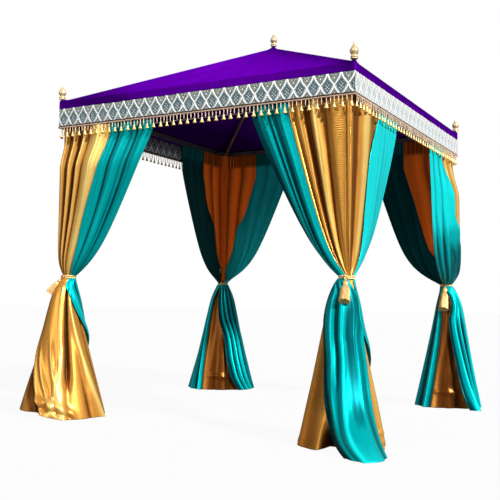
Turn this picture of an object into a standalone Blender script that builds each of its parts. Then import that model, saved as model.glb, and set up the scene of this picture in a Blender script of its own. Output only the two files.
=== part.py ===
"""Square draped cabana: four posts in an open frame, a pyramid roof cover with a woven border and
tassel fringe, gold and teal drapes tied back at each corner, and turned finials.

Metres, +Z up, origin on the floor at the middle of the plan, front side towards -Y.
"""
import math

import bmesh
import bpy
import numpy as np
from mathutils import Matrix, Vector

# Driving dimensions
HALF_WIDTH = 1.220        # outer face of the roof cover's fascia, from the centre
EAVE_Z = 2.390            # edge where the roof slope turns down into the fascia
ROOF_RISE = 0.600         # eave to apex
FASCIA_HEIGHT = 0.056
BORDER_HEIGHT = 0.140
FRINGE_HEIGHT = 0.083
POST_OFFSET = 1.140       # post axis from the centre, along X and along Y
POST_HALF = 0.019         # half of the square post tube
TIE_Z = 1.043             # height of the tieback rope
GAP = 0.0003              # clearance between pieces that touch
CLOTH_GAP = 0.0004        # half of the clearance between two drape edges

# Thicknesses
CLOTH = 0.005             # fascia and border, doubled and lined
SLOPE_DROP = 0.0061       # vertical thickness of the roof slope
FRINGE_DEPTH = 0.012

# Posts, rails and rafters
BASE_HALF = 0.075
BASE_THICK = 0.006
RAIL_DEPTH = 0.038
RAIL_HEIGHT = 0.036
FRAME_OUT = HALF_WIDTH - CLOTH - 0.0005   # outer face of the rails and corner blocks
FRAME_TOP = 2.386
FRAME_LOW = FRAME_TOP - RAIL_HEIGHT
RAFTER_WIDTH = 0.025
RAFTER_DEPTH = 0.028
HUB_RADIUS = 0.050
HUB_TOP = 2.961
HUB_HEIGHT = 0.075
HUB_SIDES = 8

# Finials
FINIAL_HEIGHT = 0.118
FINIAL_INSET = 0.015      # corner finial's axis from each outer face
FINIAL_SEAT_CORNER = 2.410
FINIAL_SEAT_APEX = 3.004
STEM_RADIUS = 0.005
STEM_HOLE = 0.006
BOSS_CORNER = 0.014       # cloth boss under a corner finial
BOSS_APEX = 0.020

# Drapes
DRAPE_TOP = FRAME_LOW - GAP
DRAPE_FOOT = 0.003
SPREAD = 0.780            # outer edge of the teal cloth, from the corner along the face
HANG_IN = 0.0275          # room side of the hanging line, from the post axis
HANG_OUT = 0.0625         # outer side of the hanging line, from the post axis
TIE_IN = 0.0275
TIE_OUT = 0.0500
SWEEP_START_Z = 2.090     # the drapes hang straight above this height
GOLD_SHARE = 0.55         # share of the hanging line that is gold, from the corner
WRAP = 172.0              # degrees that each side wraps round the post at the tie
GOLD_WRAP = 25.0
SKIRT_RADIUS = 0.290
SKIRT_CURVE = 0.75
SKIRT_THICKER = 0.008
HEM_REACH = 0.60          # extra radius share of the long hem on two corners
HEM_REACH_AT = 14.0       # degrees, where that hem reaches furthest
HEM_REACH_SPAN = 32.0

# Border tassels
TASSELS = 42
STRING_WIDTH = 0.004
BELL_HALF = 0.012
HEADER = 0.012
BELL_HEIGHT = 0.040

# Tiebacks
ROPE_HALF_HEIGHT = 0.013
ROPE_HALF_DEPTH = 0.006
KNOT_RADIUS = 0.017
TASSEL_LENGTH = 0.140
TASSEL_LEAN = 27.0        # degrees out from upright, because it lies on the skirt

CORNERS = {
    "front_left": (-1, -1),
    "front_right": (1, -1),
    "back_right": (1, 1),
    "back_left": (-1, 1),
}
# The three cloths of a corner meet the floor at these angles round the post, from the outward diagonal.
FLOOR_ANGLES = {
    "front_left": (-150.0, -58.0, 172.0, 205.0),
    "front_right": (-230.0, -110.0, -20.0, 125.0),
    "back_right": (-172.0, -40.0, 60.0, 172.0),
    "back_left": (-172.0, -60.0, 60.0, 172.0),
}
LONG_HEMS = ("front_right", "back_left")
# How much of each corner's sweep hangs back until just above the tie: on its side face, on its front or back face.
BELLIES = {
    "front_left": (0.14, 0.14),
    "front_right": (0.05, 0.17),
    "back_right": (0.65, 0.40),
    "back_left": (0.35, 0.35),
}
TASSEL_ANGLES = {"front_left": 20.0, "front_right": 30.0, "back_right": -135.0, "back_left": 0.0}

SLOPE = ROOF_RISE / HALF_WIDTH


def clear_scene():
    """Remove every object that the file starts with."""
    for ob in list(bpy.data.objects):
        bpy.data.objects.remove(ob)


def finish(name, colour, roughness, metallic=0.0):
    """A Principled material."""
    mat = bpy.data.materials.new(name)
    mat.use_nodes = True
    shader = mat.node_tree.nodes["Principled BSDF"]
    shader.inputs["Base Color"].default_value = (*colour, 1.0)
    shader.inputs["Roughness"].default_value = roughness
    shader.inputs["Metallic"].default_value = metallic
    return mat


def add_object(name, bm, mat, smooth=False):
    """Turn a bmesh into a named object with outward faces."""
    bmesh.ops.recalc_face_normals(bm, faces=bm.faces)
    mesh = bpy.data.meshes.new(name)
    bm.to_mesh(mesh)
    bm.free()
    if smooth:
        mesh.shade_smooth()
        mesh.set_sharp_from_angle(angle=math.radians(40))
    ob = bpy.data.objects.new(name, mesh)
    mesh.materials.append(mat)
    bpy.context.scene.collection.objects.link(ob)
    return ob


def loft(rings):
    """Join equal rings of points with quads and close both ends."""
    bm = bmesh.new()
    loops = [[bm.verts.new(p) for p in ring] for ring in rings]
    for low, high in zip(loops, loops[1:]):
        for i in range(len(low)):
            j = (i + 1) % len(low)
            bm.faces.new((low[i], low[j], high[j], high[i]))
    bm.faces.new(list(reversed(loops[0])))
    bm.faces.new(loops[-1])
    return bm


def square(cx, cy, half, z):
    """Four corners of a level square."""
    return [(cx + a * half, cy + b * half, z) for a, b in ((-1, -1), (1, -1), (1, 1), (-1, 1))]


def box(low, high):
    """A box between two corners."""
    (x0, y0, z0), (x1, y1, z1) = low, high
    return loft([[(x0, y0, z), (x1, y0, z), (x1, y1, z), (x0, y1, z)] for z in (z0, z1)])


def turned(profile, sides, phase=0.0):
    """Spin a profile of (radius, height) pairs round Z and close its ends."""
    bm = bmesh.new()
    rim = [bm.verts.new((radius, 0.0, height)) for radius, height in profile]
    edges = [bm.edges.new(pair) for pair in zip(rim, rim[1:])]
    bmesh.ops.spin(
        bm, geom=rim + edges, cent=(0, 0, 0), axis=(0, 0, 1),
        angle=math.tau, steps=sides, use_merge=True,
    )
    bmesh.ops.remove_doubles(bm, verts=bm.verts, dist=1e-6)
    bmesh.ops.holes_fill(bm, edges=[e for e in bm.edges if e.is_boundary], sides=0)
    bmesh.ops.rotate(bm, verts=bm.verts, matrix=Matrix.Rotation(phase, 3, "Z"))
    return bm


def cutter(name, bm, mat):
    """A helper solid that only shapes another one."""
    ob = add_object(name, bm, mat)
    ob.hide_render = True
    ob.display_type = "WIRE"
    return ob


def combine(ob, tool, operation):
    """A live Boolean with the exact solver."""
    mod = ob.modifiers.new(tool.name, "BOOLEAN")
    mod.operation = operation
    mod.solver = "EXACT"
    mod.object = tool


def make_posts(mat):
    """Square tubes on base plates, each with a corner block that the rails butt against."""
    reach = FRAME_OUT - POST_OFFSET
    block_half = (reach + POST_HALF) / 2
    for corner, (sx, sy) in CORNERS.items():
        x, y = sx * POST_OFFSET, sy * POST_OFFSET
        bx = x + sx * (reach - block_half)
        by = y + sy * (reach - block_half)
        rings = [
            square(x, y, BASE_HALF, 0.0),
            square(x, y, BASE_HALF, BASE_THICK),
            square(x, y, POST_HALF, BASE_THICK),
            square(x, y, POST_HALF, FRAME_LOW),
            square(bx, by, block_half, FRAME_LOW),
            square(bx, by, block_half, FRAME_TOP),
        ]
        add_object(f"post_{corner}", loft(rings), mat)


def make_rails(mat):
    """Four rails that butt against the corner blocks."""
    end = POST_OFFSET - POST_HALF - GAP
    inner = FRAME_OUT - RAIL_DEPTH
    for side, sign in (("front", -1), ("back", 1)):
        y0, y1 = sorted((sign * inner, sign * FRAME_OUT))
        add_object(f"eave_rail_{side}", box((-end, y0, FRAME_LOW), (end, y1, FRAME_TOP)), mat)
    for side, sign in (("left", -1), ("right", 1)):
        x0, x1 = sorted((sign * inner, sign * FRAME_OUT))
        add_object(f"eave_rail_{side}", box((x0, -end, FRAME_LOW), (x1, end, FRAME_TOP)), mat)


def make_rafters(mat):
    """Hip rafters with plumb-cut ends, from the corner blocks up to the crown hub."""
    start = (POST_OFFSET - POST_HALF) * math.sqrt(2) - GAP
    stop = HUB_RADIUS * math.cos(math.pi / HUB_SIDES) + GAP
    low_z = FRAME_TOP - RAFTER_DEPTH / 2 - 0.006
    high_z = HUB_TOP - RAFTER_DEPTH / 2 - 0.012
    half = RAFTER_WIDTH / 2
    drop = RAFTER_DEPTH / 2
    for corner, (sx, sy) in CORNERS.items():
        along = Vector((sx, sy, 0)).normalized()
        across = Vector((-along.y, along.x, 0)) * half
        up = Vector((0, 0, drop))
        rings = []
        for run, z in ((start, low_z), (stop, high_z)):
            mid = along * run + Vector((0, 0, z))
            rings.append([mid - across - up, mid + across - up, mid + across + up, mid - across + up])
        add_object(f"hip_rafter_{corner}", loft(rings), mat)


def make_hub(mat):
    """Eight-sided crown hub under the apex, with a face towards each rafter."""
    profile = [(HUB_RADIUS, HUB_TOP - HUB_HEIGHT), (HUB_RADIUS, HUB_TOP)]
    add_object("crown_hub", turned(profile, HUB_SIDES, math.pi / HUB_SIDES), mat)


def make_roof(mat):
    """Pyramid cover with its fascia, open below, with a cloth boss and a hole at each finial."""
    inner = HALF_WIDTH - CLOTH
    low = EAVE_Z - FASCIA_HEIGHT
    bend = EAVE_Z + SLOPE * CLOTH - SLOPE_DROP
    rings = [
        square(0, 0, HALF_WIDTH, EAVE_Z),
        square(0, 0, HALF_WIDTH, low),
        square(0, 0, inner, low),
        square(0, 0, inner, bend),
    ]
    bm = bmesh.new()
    loops = [[bm.verts.new(p) for p in ring] for ring in rings]
    for first, second in zip(loops, loops[1:]):
        for i in range(4):
            j = (i + 1) % 4
            bm.faces.new((first[i], first[j], second[j], second[i]))
    for loop, apex_z in ((loops[0], EAVE_Z + ROOF_RISE), (loops[-1], EAVE_Z + ROOF_RISE - SLOPE_DROP)):
        apex = bm.verts.new((0, 0, apex_z))
        for i in range(4):
            bm.faces.new((loop[i], loop[(i + 1) % 4], apex))
    roof = add_object("roof_cover", bm, mat)
    place = HALF_WIDTH - FINIAL_INSET
    seats = [(corner, sx * place, sy * place) for corner, (sx, sy) in CORNERS.items()]
    seats.append(("apex", 0.0, 0.0))
    for name, x, y in seats:
        at_apex = name == "apex"
        top = FINIAL_SEAT_APEX if at_apex else FINIAL_SEAT_CORNER
        radius = BOSS_APEX if at_apex else BOSS_CORNER
        edge = max(abs(x), abs(y)) + radius
        foot = EAVE_Z + SLOPE * (HALF_WIDTH - edge) - SLOPE_DROP / 2
        boss = turned([(radius * 1.0, foot), (radius * 0.95, top)], 12)
        hole = turned([(STEM_HOLE, EAVE_Z - 0.05), (STEM_HOLE, top + 0.05)], 12)
        for bm_tool in (boss, hole):
            bmesh.ops.translate(bm_tool, verts=bm_tool.verts, vec=(x, y, 0))
        combine(roof, cutter(f"boss_{name}", boss, mat), "UNION")
        combine(roof, cutter(f"stem_hole_{name}", hole, mat), "DIFFERENCE")


def make_finials(mat):
    """Turned finials: a flared foot ring, a neck, an onion bulb and a spike, on a stem."""
    h = FINIAL_HEIGHT
    shape = [
        (0.021, 0.000), (0.025, 0.006), (0.024, 0.014), (0.017, 0.022), (0.0165, 0.028),
        (0.024, 0.038), (0.0290, 0.052), (0.026, 0.064), (0.017, 0.078), (0.009, 0.094),
        (0.0055, 0.106), (0.0, h),
    ]
    place = HALF_WIDTH - FINIAL_INSET
    seats = {f"corner_finial_{c}": (sx * place, sy * place, FINIAL_SEAT_CORNER, FRAME_TOP)
             for c, (sx, sy) in CORNERS.items()}
    seats["apex_finial"] = (0.0, 0.0, FINIAL_SEAT_APEX, HUB_TOP)
    for name, (x, y, seat, carrier) in seats.items():
        stem = [(STEM_RADIUS, carrier + GAP - seat), (STEM_RADIUS, GAP)]
        profile = stem + [(radius, height + GAP) for radius, height in shape]
        bm = turned(profile, 14)
        bmesh.ops.translate(bm, verts=bm.verts, vec=(x, y, seat))
        add_object(name, bm, mat, smooth=True)


def strip(name, mat, outline, depth, side):
    """Extrude an upright outline of (along, z) points to a strip on one side of the cabana.

    depth is (inner, outer) distance of its faces from the centre.
    """
    turn = {"front": 0, "right": 1, "back": 2, "left": 3}[side]
    bm = bmesh.new()
    face = bm.faces.new([bm.verts.new((along, -depth[1], z)) for along, z in outline])
    grown = bmesh.ops.extrude_face_region(bm, geom=[face])
    moved = [v for v in grown["geom"] if isinstance(v, bmesh.types.BMVert)]
    bmesh.ops.translate(bm, verts=moved, vec=(0, depth[1] - depth[0], 0))
    bmesh.ops.rotate(bm, verts=bm.verts, matrix=Matrix.Rotation(turn * math.pi / 2, 3, "Z"))
    add_object(name, bm, mat)


def make_borders(mat):
    """Woven border strips sewn below the fascia."""
    top = EAVE_Z - FASCIA_HEIGHT - GAP
    low = EAVE_Z - FASCIA_HEIGHT - BORDER_HEIGHT
    for side in ("front", "right", "back", "left"):
        half = HALF_WIDTH if side in ("front", "back") else HALF_WIDTH - CLOTH - GAP
        outline = [(-half, top), (-half, low), (half, low), (half, top)]
        strip(f"border_{side}", mat, outline, (HALF_WIDTH - CLOTH, HALF_WIDTH), side)


def make_fringes(mat):
    """Braided header with bell tassels on strings, one toothed strip on each side."""
    top = EAVE_Z - FASCIA_HEIGHT - BORDER_HEIGHT - GAP
    middle = HALF_WIDTH - CLOTH / 2
    depth = (middle - FRINGE_DEPTH / 2, middle + FRINGE_DEPTH / 2)
    low = top - FRINGE_HEIGHT
    for side in ("front", "right", "back", "left"):
        half = depth[1] if side in ("front", "back") else depth[0] - GAP
        pitch = 2 * half / TASSELS
        outline = [(half, top), (-half, top)]
        for i in range(TASSELS):
            mid = -half + pitch * (i + 0.5)
            if i == 0:
                outline.append((-half, top - HEADER))
            outline += [
                (mid - STRING_WIDTH / 2, top - HEADER),
                (mid - STRING_WIDTH / 2, low + BELL_HEIGHT),
                (mid - BELL_HALF, low),
                (mid + BELL_HALF, low),
                (mid + STRING_WIDTH / 2, low + BELL_HEIGHT),
                (mid + STRING_WIDTH / 2, top - HEADER),
            ]
        outline.append((half, top - HEADER))
        strip(f"fringe_{side}", mat, outline, depth, side)


def hang_line(share, hang, spread):
    """Plan point on the hanging line for each share, from -1 to 1, with a rounded corner at 0."""
    run = np.abs(share) * (hang - spread)
    round_off = 0.030
    missing = np.maximum(0.0, round_off - run)
    cut = missing ** 2 / (4 * round_off)
    near = hang - cut
    far = hang - run - cut
    return np.where(share >= 0, far, near), np.where(share >= 0, near, far)


def round_line(degrees, radius):
    """Plan point at an angle from the outward diagonal."""
    angle = np.radians(45.0 + degrees)
    return radius * np.cos(angle), radius * np.sin(angle)


def tie_angle(share):
    """Angle round the post at the tie for each share of the hanging line."""
    known = [-1.0, -GOLD_SHARE, 0.0, GOLD_SHARE, 1.0]
    return np.interp(share, known, [-WRAP, -GOLD_WRAP, 0.0, GOLD_WRAP, WRAP])


def drawn_in(share, z, bellies):
    """How far the cloth is drawn in to the tie: a near-straight sweep plus a late belly."""
    t = np.clip((share + 1.0) / 2.0, 0.0, 1.0)
    belly = bellies[0] + (bellies[1] - bellies[0]) * t * t * (3.0 - 2.0 * t)
    drop = min(max((SWEEP_START_Z - z) / (SWEEP_START_Z - TIE_Z - 0.03), 0.0), 1.0)
    return (1.0 - belly) * drop ** 1.1 + belly * drop ** 9


def drape_section(share, z, corner):
    """Inner and outer plan curves of the drapes at one height, as arrays of (u, v)."""
    floor_angles = FLOOR_ANGLES[corner]
    tie = tie_angle(share)
    spread = (POST_OFFSET + SPREAD - HALF_WIDTH) * -1.0
    if z >= TIE_Z - 0.03:
        drawn = drawn_in(share, z, BELLIES[corner])
        curves = []
        for hang, radius in ((HANG_IN, TIE_IN), (HANG_OUT, TIE_OUT)):
            hu, hv = hang_line(share, hang, spread)
            tu, tv = round_line(tie, radius)
            curves.append(((1 - drawn) * hu + drawn * tu, (1 - drawn) * hv + drawn * tv))
        return curves
    fall = (TIE_Z - 0.03 - z) / (TIE_Z - 0.03)
    floor = np.interp(share, [-1.0, -GOLD_SHARE, GOLD_SHARE, 1.0], floor_angles)
    turn = tie + (floor - tie) * min(1.0, fall * 1.6)
    radius = TIE_OUT + (SKIRT_RADIUS - TIE_OUT) * fall ** SKIRT_CURVE
    if corner in LONG_HEMS:
        away = (turn - HEM_REACH_AT + 180.0) % 360.0 - 180.0
        radius = radius * (1 + HEM_REACH * fall ** 4 * np.exp(-(away / HEM_REACH_SPAN) ** 2))
    inner = radius - (TIE_OUT - TIE_IN) - SKIRT_THICKER * fall
    return [round_line(turn, inner), round_line(turn, radius)]


def edge_share(share, z, corner, distance):
    """The share that lies a given distance along the outer curve from another share."""
    step = 1e-4
    _, (u, v) = drape_section(np.array([share - step, share + step]), z, corner)
    pace = math.hypot(u[1] - u[0], v[1] - v[0]) / (2 * step)
    return share + distance / pace


def make_drape(name, mat, corner, span, count):
    """A closed band of cloth between two shares of the hanging line, from rail to floor."""
    sx, sy = CORNERS[corner]
    heights = [DRAPE_TOP, SWEEP_START_Z, 1.80, 1.50, 1.33, 1.23, 1.16, 1.11, TIE_Z + 0.03, TIE_Z - 0.03,
               0.96, 0.88, 0.74, 0.54, 0.32, 0.18, 0.08, DRAPE_FOOT]
    bm = bmesh.new()
    loops = []
    for z in heights:
        low = edge_share(span[0], z, corner, CLOTH_GAP) if span[0] > -1 else span[0]
        high = edge_share(span[1], z, corner, -CLOTH_GAP) if span[1] < 1 else span[1]
        shares = np.linspace(low, high, count + 1)
        if span[0] < 0 < span[1]:
            half = np.linspace(0.0, 1.0, count // 2 + 1) ** 1.6
            shares = np.concatenate([low * half[:0:-1], high * half])
        (iu, iv), (ou, ov) = drape_section(shares, z, corner)
        u = np.concatenate([ou, iu[::-1]])
        v = np.concatenate([ov, iv[::-1]])
        loops.append([bm.verts.new((sx * (POST_OFFSET + a), sy * (POST_OFFSET + b), z))
                      for a, b in zip(u, v)])
    n = count + 1
    for low, high in zip(loops, loops[1:]):
        for i in range(2 * n):
            j = (i + 1) % (2 * n)
            if i == n - 1:
                bm.faces.new((low[i], low[j], high[i]))
                bm.faces.new((low[j], high[j], high[i]))
            elif i == 2 * n - 1:
                bm.faces.new((low[j], low[i], high[j]))
                bm.faces.new((low[i], high[i], high[j]))
            else:
                bm.faces.new((low[i], low[j], high[j]))
                bm.faces.new((low[i], high[j], high[i]))
    for loop in (loops[0], loops[-1]):
        for i in range(n - 1):
            bm.faces.new((loop[i], loop[i + 1], loop[2 * n - 2 - i], loop[2 * n - 1 - i]))
    add_object(name, bm, mat, smooth=True)


def make_drapes(gold, teal):
    """Per corner one gold cloth round the corner and a teal cloth on each face."""
    for corner in CORNERS:
        along_x, along_y = corner.split("_")
        make_drape(f"gold_drape_{corner}", gold, corner, (-GOLD_SHARE, GOLD_SHARE), 12)
        make_drape(f"teal_drape_{corner}_on_{along_y}", teal, corner, (-1.0, -GOLD_SHARE), 7)
        make_drape(f"teal_drape_{corner}_on_{along_x}", teal, corner, (GOLD_SHARE, 1.0), 7)


def make_tiebacks(mat):
    """A rope band round each bundle of drapes, with a knot and one bell tassel."""
    inner = TIE_OUT + GAP * 2
    mid = inner + ROPE_HALF_DEPTH
    tassel_shape = [
        (0.004, 0.000), (0.008, 0.010), (0.013, 0.020), (0.013, 0.030), (0.009, 0.036),
        (0.016, 0.046), (0.023, 0.075), (0.030, 0.125), (0.031, TASSEL_LENGTH),
    ]
    for corner, (sx, sy) in CORNERS.items():
        bm = bmesh.new()
        section = []
        for k in range(8):
            a = math.tau * k / 8
            section.append(bm.verts.new(
                (mid + ROPE_HALF_DEPTH * math.cos(a), 0, TIE_Z + ROPE_HALF_HEIGHT * math.sin(a))))
        edges = [bm.edges.new((section[k], section[(k + 1) % 8])) for k in range(8)]
        bmesh.ops.spin(bm, geom=section + edges, cent=(0, 0, 0), axis=(0, 0, 1),
                       angle=math.tau, steps=24, use_merge=True)
        bmesh.ops.remove_doubles(bm, verts=bm.verts, dist=1e-6)
        place = Matrix.Translation((sx * POST_OFFSET, sy * POST_OFFSET, 0))
        bmesh.ops.transform(bm, verts=bm.verts, matrix=place)
        rope = add_object(f"tieback_{corner}", bm, mat, smooth=True)
        u, v = round_line(TASSEL_ANGLES[corner], 1.0)
        out = Vector((sx * u, sy * v, 0))
        knot_at = Vector((sx * POST_OFFSET, sy * POST_OFFSET, TIE_Z)) + out * (inner + KNOT_RADIUS)
        knot = bmesh.new()
        bmesh.ops.create_uvsphere(knot, u_segments=10, v_segments=6, radius=KNOT_RADIUS)
        bmesh.ops.translate(knot, verts=knot.verts, vec=knot_at)
        tassel = turned([(radius, -along) for radius, along in tassel_shape], 12)
        axis = out.cross(Vector((0, 0, 1)))
        lean = Matrix.Rotation(math.radians(TASSEL_LEAN), 4, axis)
        hook = knot_at + out * 0.004 + Vector((0, 0, -KNOT_RADIUS * 0.6))
        bmesh.ops.transform(tassel, verts=tassel.verts, matrix=Matrix.Translation(hook) @ lean)
        combine(rope, cutter(f"knot_{corner}", knot, mat), "UNION")
        combine(rope, cutter(f"tassel_{corner}", tassel, mat), "UNION")


def main():
    """Build the cabana."""
    clear_scene()
    steel = finish("powder_coated_steel", (0.07, 0.065, 0.07), 0.45, 0.3)
    purple = finish("purple_satin", (0.10, 0.005, 0.32), 0.42)
    woven = finish("woven_border", (0.55, 0.60, 0.63), 0.55)
    braid = finish("gold_braid", (0.75, 0.55, 0.22), 0.6)
    gold = finish("gold_satin", (0.78, 0.42, 0.08), 0.35)
    teal = finish("teal_satin", (0.0, 0.42, 0.45), 0.35)
    gilt = finish("gilded_finial", (0.86, 0.72, 0.42), 0.35, 0.7)
    make_posts(steel)
    make_rails(steel)
    make_rafters(steel)
    make_hub(steel)
    make_roof(purple)
    make_finials(gilt)
    make_borders(woven)
    make_fringes(braid)
    make_drapes(gold, teal)
    make_tiebacks(braid)


main()
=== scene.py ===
"""Dress the draped cabana: satin roof, woven border, tassel fringe, tied drapes, finials and frame.

Metres, +Z up, origin on the floor at the middle of the plan, front side towards -Y.
"""

import logging
import math
from dataclasses import dataclass, field, replace
from enum import Enum

import bpy
import numpy as np
from mathutils import Matrix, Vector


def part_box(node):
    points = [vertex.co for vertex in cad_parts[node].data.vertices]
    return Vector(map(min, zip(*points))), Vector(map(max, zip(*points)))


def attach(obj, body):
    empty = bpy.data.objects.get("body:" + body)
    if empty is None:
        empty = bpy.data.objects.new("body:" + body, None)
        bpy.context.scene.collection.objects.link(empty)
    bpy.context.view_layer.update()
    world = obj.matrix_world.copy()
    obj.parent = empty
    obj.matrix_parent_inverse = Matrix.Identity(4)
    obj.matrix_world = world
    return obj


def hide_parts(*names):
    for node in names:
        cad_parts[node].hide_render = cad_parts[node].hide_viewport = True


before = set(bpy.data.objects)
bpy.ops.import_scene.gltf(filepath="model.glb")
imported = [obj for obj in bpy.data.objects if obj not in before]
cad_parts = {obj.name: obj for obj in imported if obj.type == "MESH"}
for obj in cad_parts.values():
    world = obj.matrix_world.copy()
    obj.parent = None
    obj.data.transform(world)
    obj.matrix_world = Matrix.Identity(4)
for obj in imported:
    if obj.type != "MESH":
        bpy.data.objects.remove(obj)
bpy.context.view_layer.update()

Array = np.ndarray
Material = bpy.types.Material
Piece = bpy.types.Object
Socket = bpy.types.NodeSocket
Tree = bpy.types.NodeTree
Triple = tuple[float, float, float]
Pairs = tuple[tuple[float, float], ...]

LOG = logging.getLogger("cabana")
TAU = math.tau
# Distance of a post's axis from both middle lines of the plan, and height of the ties.
POST = 1.140
TIE = 1.043


class Corner(Enum):
    """A corner of the plan, as the signs of its X and Y."""

    FRONT_LEFT = (-1, -1)
    FRONT_RIGHT = (1, -1)
    BACK_RIGHT = (1, 1)
    BACK_LEFT = (-1, 1)

    @property
    def label(self) -> str:
        """The corner's part of a node name."""
        return self.name.lower()


class Side(Enum):
    """A side of the cabana, as quarter turns from the front."""

    FRONT = 0
    RIGHT = 1
    BACK = 2
    LEFT = 3

    @property
    def label(self) -> str:
        """The side's part of a node name."""
        return self.name.lower()


def ease(low: float, high: float, value: Array) -> Array:
    """Smooth ramp from 0 at low to 1 at high.

    Args:
        low: Value where the ramp starts.
        high: Value where the ramp ends.
        value: Values to ramp.

    Returns:
        Values from 0 to 1, level at both ends.
    """
    t = np.clip((np.asarray(value, float) - low) / (high - low), 0.0, 1.0)
    return t * t * (3.0 - 2.0 * t)


def ripples(seed: int, count: int, reach: tuple[float, float], place: Array) -> Array:
    """Sum of sines of seeded pitch and phase, scaled to about -1..1.

    Args:
        seed: Seed of the pitches and phases.
        count: How many sines to add.
        reach: Lowest and highest number of waves for each unit of place.
        place: Where to read the sum.

    Returns:
        The sum at each place.
    """
    random = np.random.default_rng(seed)
    pitch = random.uniform(*reach, count)
    phase = random.uniform(0.0, TAU, count)
    waves = [np.sin(TAU * p * place + q) for p, q in zip(pitch, phase)]
    return sum(waves) / math.sqrt(count)


def smooth_max(a: Array, b: Array, sharp: float) -> Array:
    """Smooth maximum of two fields: the logarithm of the sum of their powers, by a sharpness."""
    return np.logaddexp(a * sharp, b * sharp) / sharp


def carried_round(points: Array, side: Side) -> Array:
    """Rows of points carried round from the front to another side, by quarter turns about Z."""
    angle = side.value * math.pi / 2
    spin = np.array([[math.cos(angle), math.sin(angle), 0],
                     [-math.sin(angle), math.cos(angle), 0], [0, 0, 1]])
    return points @ spin


def add_object(name: str, data: bpy.types.ID) -> Piece:
    """A new object of some data, linked into the scene."""
    made = bpy.data.objects.new(name, data)
    bpy.context.scene.collection.objects.link(made)
    return made


@dataclass
class Surface:
    """Points, quads, triangles, UVs and point values of part of a piece."""

    points: Array
    quads: Array
    triangles: Array = field(default_factory=lambda: np.zeros((0, 3), int))
    uv: Array | None = None
    values: dict[str, Array] = field(default_factory=dict)
    slot: int = 0

    @classmethod
    def grid(cls, points: Array, uv: Array | None = None, wrap: bool = False,
             values: dict[str, Array] | None = None, slot: int = 0) -> "Surface":
        """Quads over a grid of points.

        Args:
            points: Array of rows by columns by 3.
            uv: Array of rows by columns by 2.
            wrap: Join the last column to the first.
            values: Named arrays of rows by columns.
            slot: Material index.

        Returns:
            The surface of the grid.
        """
        rows, columns = points.shape[:2]
        row = np.arange(rows - 1)[:, None]
        column = np.arange(columns if wrap else columns - 1)[None, :]
        here = row * columns + column
        after = row * columns + (column + 1) % columns
        quads = np.stack([here, after, after + columns, here + columns], -1).reshape(-1, 4)
        flat = {name: np.asarray(v).reshape(-1) for name, v in (values or {}).items()}
        flat_uv = None if uv is None else uv.reshape(-1, 2)
        return cls(points.reshape(-1, 3), quads, uv=flat_uv, values=flat, slot=slot)

    @classmethod
    def tube(cls, rings: Array, uv: Array | None = None,
             values: dict[str, Array] | None = None, slot: int = 0) -> "Surface":
        """A closed tube over rings of points, with a fan of triangles at each end.

        Args:
            rings: Array of rings by sides by 3.
            uv: Array of rings by sides by 2.
            values: Named arrays of rings by sides.
            slot: Material index.

        Returns:
            The closed surface.
        """
        made = cls.grid(rings, uv, wrap=True, values=values, slot=slot)
        count, sides = rings.shape[:2]
        centres = rings[[0, -1]].mean(axis=1)
        first = count * sides
        around = np.arange(sides)
        start = np.stack([np.full(sides, first), (around + 1) % sides, around], -1)
        base = (count - 1) * sides
        end = np.stack([np.full(sides, first + 1), base + around, base + (around + 1) % sides], -1)
        made.points = np.concatenate([made.points, centres])
        made.triangles = np.concatenate([start, end])
        if made.uv is not None:
            made.uv = np.concatenate([made.uv, made.uv[[0, base]]])
        made.values = {n: np.concatenate([v, v[[0, base]]]) for n, v in made.values.items()}
        return made.outward()

    @classmethod
    def cloth(cls, points: Array, normals: Array, thickness: float, uv: Array,
              values: dict[str, Array] | None = None, slot: int = 0) -> "Surface":
        """A thin closed sheet: the grid moved both ways along its normals, joined round the rim.

        Args:
            points: Middle of the cloth, rows by columns by 3.
            normals: Unit normals towards the outer side, same shape.
            thickness: Distance between the two faces.
            uv: Array of rows by columns by 2, in metres on the cloth.
            values: Named arrays of rows by columns.
            slot: Material index.

        Returns:
            The closed sheet.
        """
        half = normals * thickness / 2
        ring = np.stack([points + half, points - half])
        rows, columns = points.shape[:2]
        front = cls.grid(ring[0], uv, values=values, slot=slot)
        count = rows * columns
        cell = np.arange(count).reshape(rows, columns)
        rim = np.concatenate([cell[0, :-1], cell[:-1, -1], cell[-1, :0:-1], cell[:0:-1, 0]])
        after = np.roll(rim, -1)
        sides = np.stack([after, rim, rim + count, after + count], -1)
        front.quads = np.concatenate([front.quads, front.quads[:, ::-1] + count, sides])
        front.points = ring.reshape(-1, 3)
        front.uv = np.concatenate([front.uv, front.uv])
        front.values = {n: np.concatenate([v, v]) for n, v in front.values.items()}
        # The inner face is marked for the satin's painted backlit colour and glow, and for more
        # roughness.
        front.values["lining"] = np.repeat([0.0, 1.0], count)
        return front.outward()

    def outward(self) -> "Surface":
        """The closed surface with its faces pointing out, by the sign of its volume."""
        fans = [self.triangles, self.quads[:, :3], self.quads[:, [0, 2, 3]]]
        a, b, c = np.moveaxis(self.points[np.concatenate(fans)], 1, 0)
        volume = np.einsum("ij,ij->", a, np.cross(b, c))
        return self if volume > 0 else self.flipped()

    def repeated(self, points: Array) -> "Surface":
        """Copies of the surface's faces and values over other points.

        Args:
            points: Array of copies by points by 3.

        Returns:
            One surface with every copy.
        """
        count, size = points.shape[:2]
        shift = (np.arange(count) * size)[:, None, None]
        return Surface(points.reshape(-1, 3), (self.quads[None] + shift).reshape(-1, 4),
                       (self.triangles[None] + shift).reshape(-1, 3), slot=self.slot,
                       values={n: np.tile(v, count) for n, v in self.values.items()})

    def turned(self, side: Side) -> "Surface":
        """The same surface carried round from the front to another side."""
        return replace(self, points=carried_round(self.points, side))

    def flipped(self) -> "Surface":
        """The same surface with its faces turned over."""
        return replace(self, quads=self.quads[:, ::-1], triangles=self.triangles[:, ::-1])


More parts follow.
